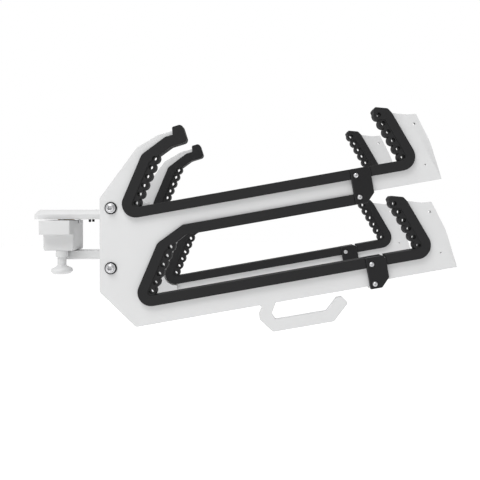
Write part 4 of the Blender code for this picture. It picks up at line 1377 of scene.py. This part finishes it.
@dataclass
class Plunger:
    """The pull-knob index plunger under the hub."""

    pin: float = 5.0
    pin_top: float = 60.0
    knob: float = 25.3
    coil_z: Point = (-21.7, 10.7)

    def build(self) -> None:
        """Make the body, the pin and the knob, and dress the spring."""
        p = self.pin
        body = rounded([(p + 0.4, -25, 0), (10.4, -25, 0), (10.4, -35, 0), (13, -35, 0.6), (14, -34, 0.8),
                        (14, -19.8, 0.8), (9.7, -19.8, 0), (9.7, 22, 0.6), (7.3, 22, 0), (7.3, -22, 0),
                        (p + 0.4, -22, 0)], math.radians(18))
        piece = Turning(body, RACK.plunger, sides=72).build("coated_plunger_body")
        hand_over(piece, "mount", Finish.WHITE, ["plunger_body"])
        pin = [(0, -68), (3, -68), (3, -57.3), (p - 0.5, -57.3), (p - 0.5, -28), (p, -27.6), (p, 11),
               (7, 11), (7, 13.5), (p, 13.5), (p, self.pin_top - 1.8), (p - 0.5, self.pin_top - 0.8),
               (p - 1.5, self.pin_top), (0, self.pin_top)]
        piece = Turning(pin, RACK.plunger, sides=48).build("plunger_pin_turned")
        hand_over(piece, "plunger", Finish.STEEL, ["plunger_pin"])
        rim = self.knob
        knob = rounded([(0, -74.5, 0), (rim - 5.2, -74.5, 6), (rim + 0.4, -67, 5), (rim - 2.6, -62, 2.5),
                        (10, -55.3, 4), (10, -30, 0.8), (p - 0.2, -30, 0),
                        (p - 0.2, -57.7, 0), (3.3, -57.7, 0), (3.3, -70, 0), (0, -70, 0)],
                       math.radians(10))
        piece = Turning(knob, RACK.plunger, sides=96).build("coated_pull_knob")
        hand_over(piece, "plunger", Finish.WHITE, ["pull_knob"])
        self.spring()

    def spring(self) -> None:
        """Copy and dress the frame's coil spring; its foot (body's floor) and top (pin's collar) are worked
        out but not used.
        """
        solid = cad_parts["plunger_spring"]
        mesh = solid.data.copy()
        mesh.transform(solid.matrix_world)
        mesh.materials.clear()
        mesh.materials.append(Finish.SPRING.material())
        piece = added("plunger_coil_spring", mesh)
        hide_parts("plunger_spring")
        low, high = (Vector((*RACK.plunger, z)) * MM for z in self.coil_z)
        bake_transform(piece)


# ------------------------------------------------------------------ studio

@dataclass
class Studio:
    """A pale floor, a graded sky, a soft light above the front, and the camera; all in metres."""

    floor_z: float = -0.95
    floor_radius: float = 14.0
    floor_sides: int = 64
    floor_middle: Point = (0.4, 0.0)
    sky: Point = (0.42, 1.0)
    backdrop_span: Point = (0.40, 0.76)
    haze_span: Point = (0.06, 0.32)
    glow: Point = (0.15, 0.5)
    glow_span: Point = (0.2, 1.1)
    key_power: float = 140.0
    key_place: Point3 = (-0.9, -1.9, 3.6)
    key_target: Point3 = (0.35, 0.0, 0.0)
    key_size: float = 2.4
    camera_place: Point3 = (0.4719, -1.124, 0.0773)
    lens: float = 35.8
    shift: Point = (-0.0385, -0.0631)

    def floor(self) -> None:
        """Make the floor, which glows more the farther it is from the rack."""
        rim = circle((0, 0), self.floor_radius, self.floor_sides)
        mesh = bpy.data.meshes.new("floor")
        mesh.from_pydata([(x, y, self.floor_z) for x, y in rim], [], [tuple(range(self.floor_sides))])
        floor = added("floor", mesh)
        surface = Surface("floor_paper")
        tone = surface.mix(surface.noise(80, 3), (0.93, 0.93, 0.93), (0.96, 0.96, 0.96))
        away = surface.add("ShaderNodeVectorMath", {"operation": "DISTANCE"},
                           {0: surface.place, 1: (*self.floor_middle, self.floor_z)}, output="Value")
        glow = self.fade(surface, away, self.glow_span, self.glow)
        mesh.materials.append(surface.close({"Base Color": tone, "Emission Color": glow}, {
            "Roughness": 0.9, "Specular IOR Level": 0.1, "Emission Strength": 1.0}))

    @staticmethod
    def fade(graph: Graph, value: Wire, span: Point, ends: Point) -> Wire:
        """Return a number that goes smoothly between two ends as a value crosses a span.

        Args:
            graph: the graph to add to.
            value: what drives the fade.
            span: where the fade starts and stops.
            ends: the number before and after.

        Returns:
            The fading number.
        """
        return graph.add("ShaderNodeMapRange", {"interpolation_type": "SMOOTHSTEP"},
                         {0: value, 1: span[0], 2: span[1], 3: ends[0], 4: ends[1]})

    def lights(self) -> None:
        """Set the sky, brightest behind the rack, and the soft light above its front."""
        scene = bpy.context.scene
        scene.view_settings.view_transform = "Standard"
        world = bpy.data.worlds.new("studio")
        world.use_nodes = True
        back = world.node_tree.nodes["Background"]
        back.inputs["Color"].default_value = (1.0, 1.0, 1.0, 1.0)
        graph = Graph(world.node_tree)
        toward = graph.add("ShaderNodeTexCoord", output="Generated")
        behind = graph.add("ShaderNodeSeparateXYZ", sockets={0: toward}, output="Y")
        height = graph.add("ShaderNodeSeparateXYZ", sockets={0: toward}, output="Z")
        backdrop = self.fade(graph, behind, self.backdrop_span, self.sky)
        haze = self.fade(graph, height, self.haze_span, self.sky[::-1])
        strength = backdrop.sum("MAXIMUM", backdrop, haze)
        world.node_tree.links.new(strength.socket, back.inputs["Strength"])
        scene.world = world
        data = bpy.data.lights.new("key", "AREA")
        data.energy = self.key_power
        data.size = self.key_size
        key = added("key", data)
        key.location = self.key_place
        aim = Vector(self.key_target) - Vector(self.key_place)
        key.rotation_euler = aim.to_track_quat("-Z", "Y").to_euler()

    def camera(self) -> None:
        """Make the camera, level and square to the forks."""
        data = bpy.data.cameras.new("camera")
        data.lens = self.lens
        data.sensor_width = 36.0
        data.shift_x, data.shift_y = self.shift
        data.clip_start, data.clip_end = 0.01, 60.0
        camera = added("camera", data)
        camera.location = self.camera_place
        camera.rotation_euler = (math.radians(90), 0.0, 0.0)
        bpy.context.scene.camera = camera

    def build(self) -> None:
        """Set up the studio."""
        self.floor()
        self.lights()
        self.camera()


SCREWS = ScrewRow()
LOBED = LobedChannel()


def main() -> None:
    """Build every sub-assembly in order, then the studio."""
    logging.basicConfig(level=logging.INFO, format="%(message)s")
    forks, ends = Forks(), Ends()
    builders: list[Callable[[], None]] = [
        Hub().build, Plunger().build, SwingArms().build, CrossFrame().build, forks.build, ends.build,
        lambda: Liners().build(forks, ends), Clamps().build, Studio().build]
    for build in builders:
        build()


if __name__ == "__main__":
    main()
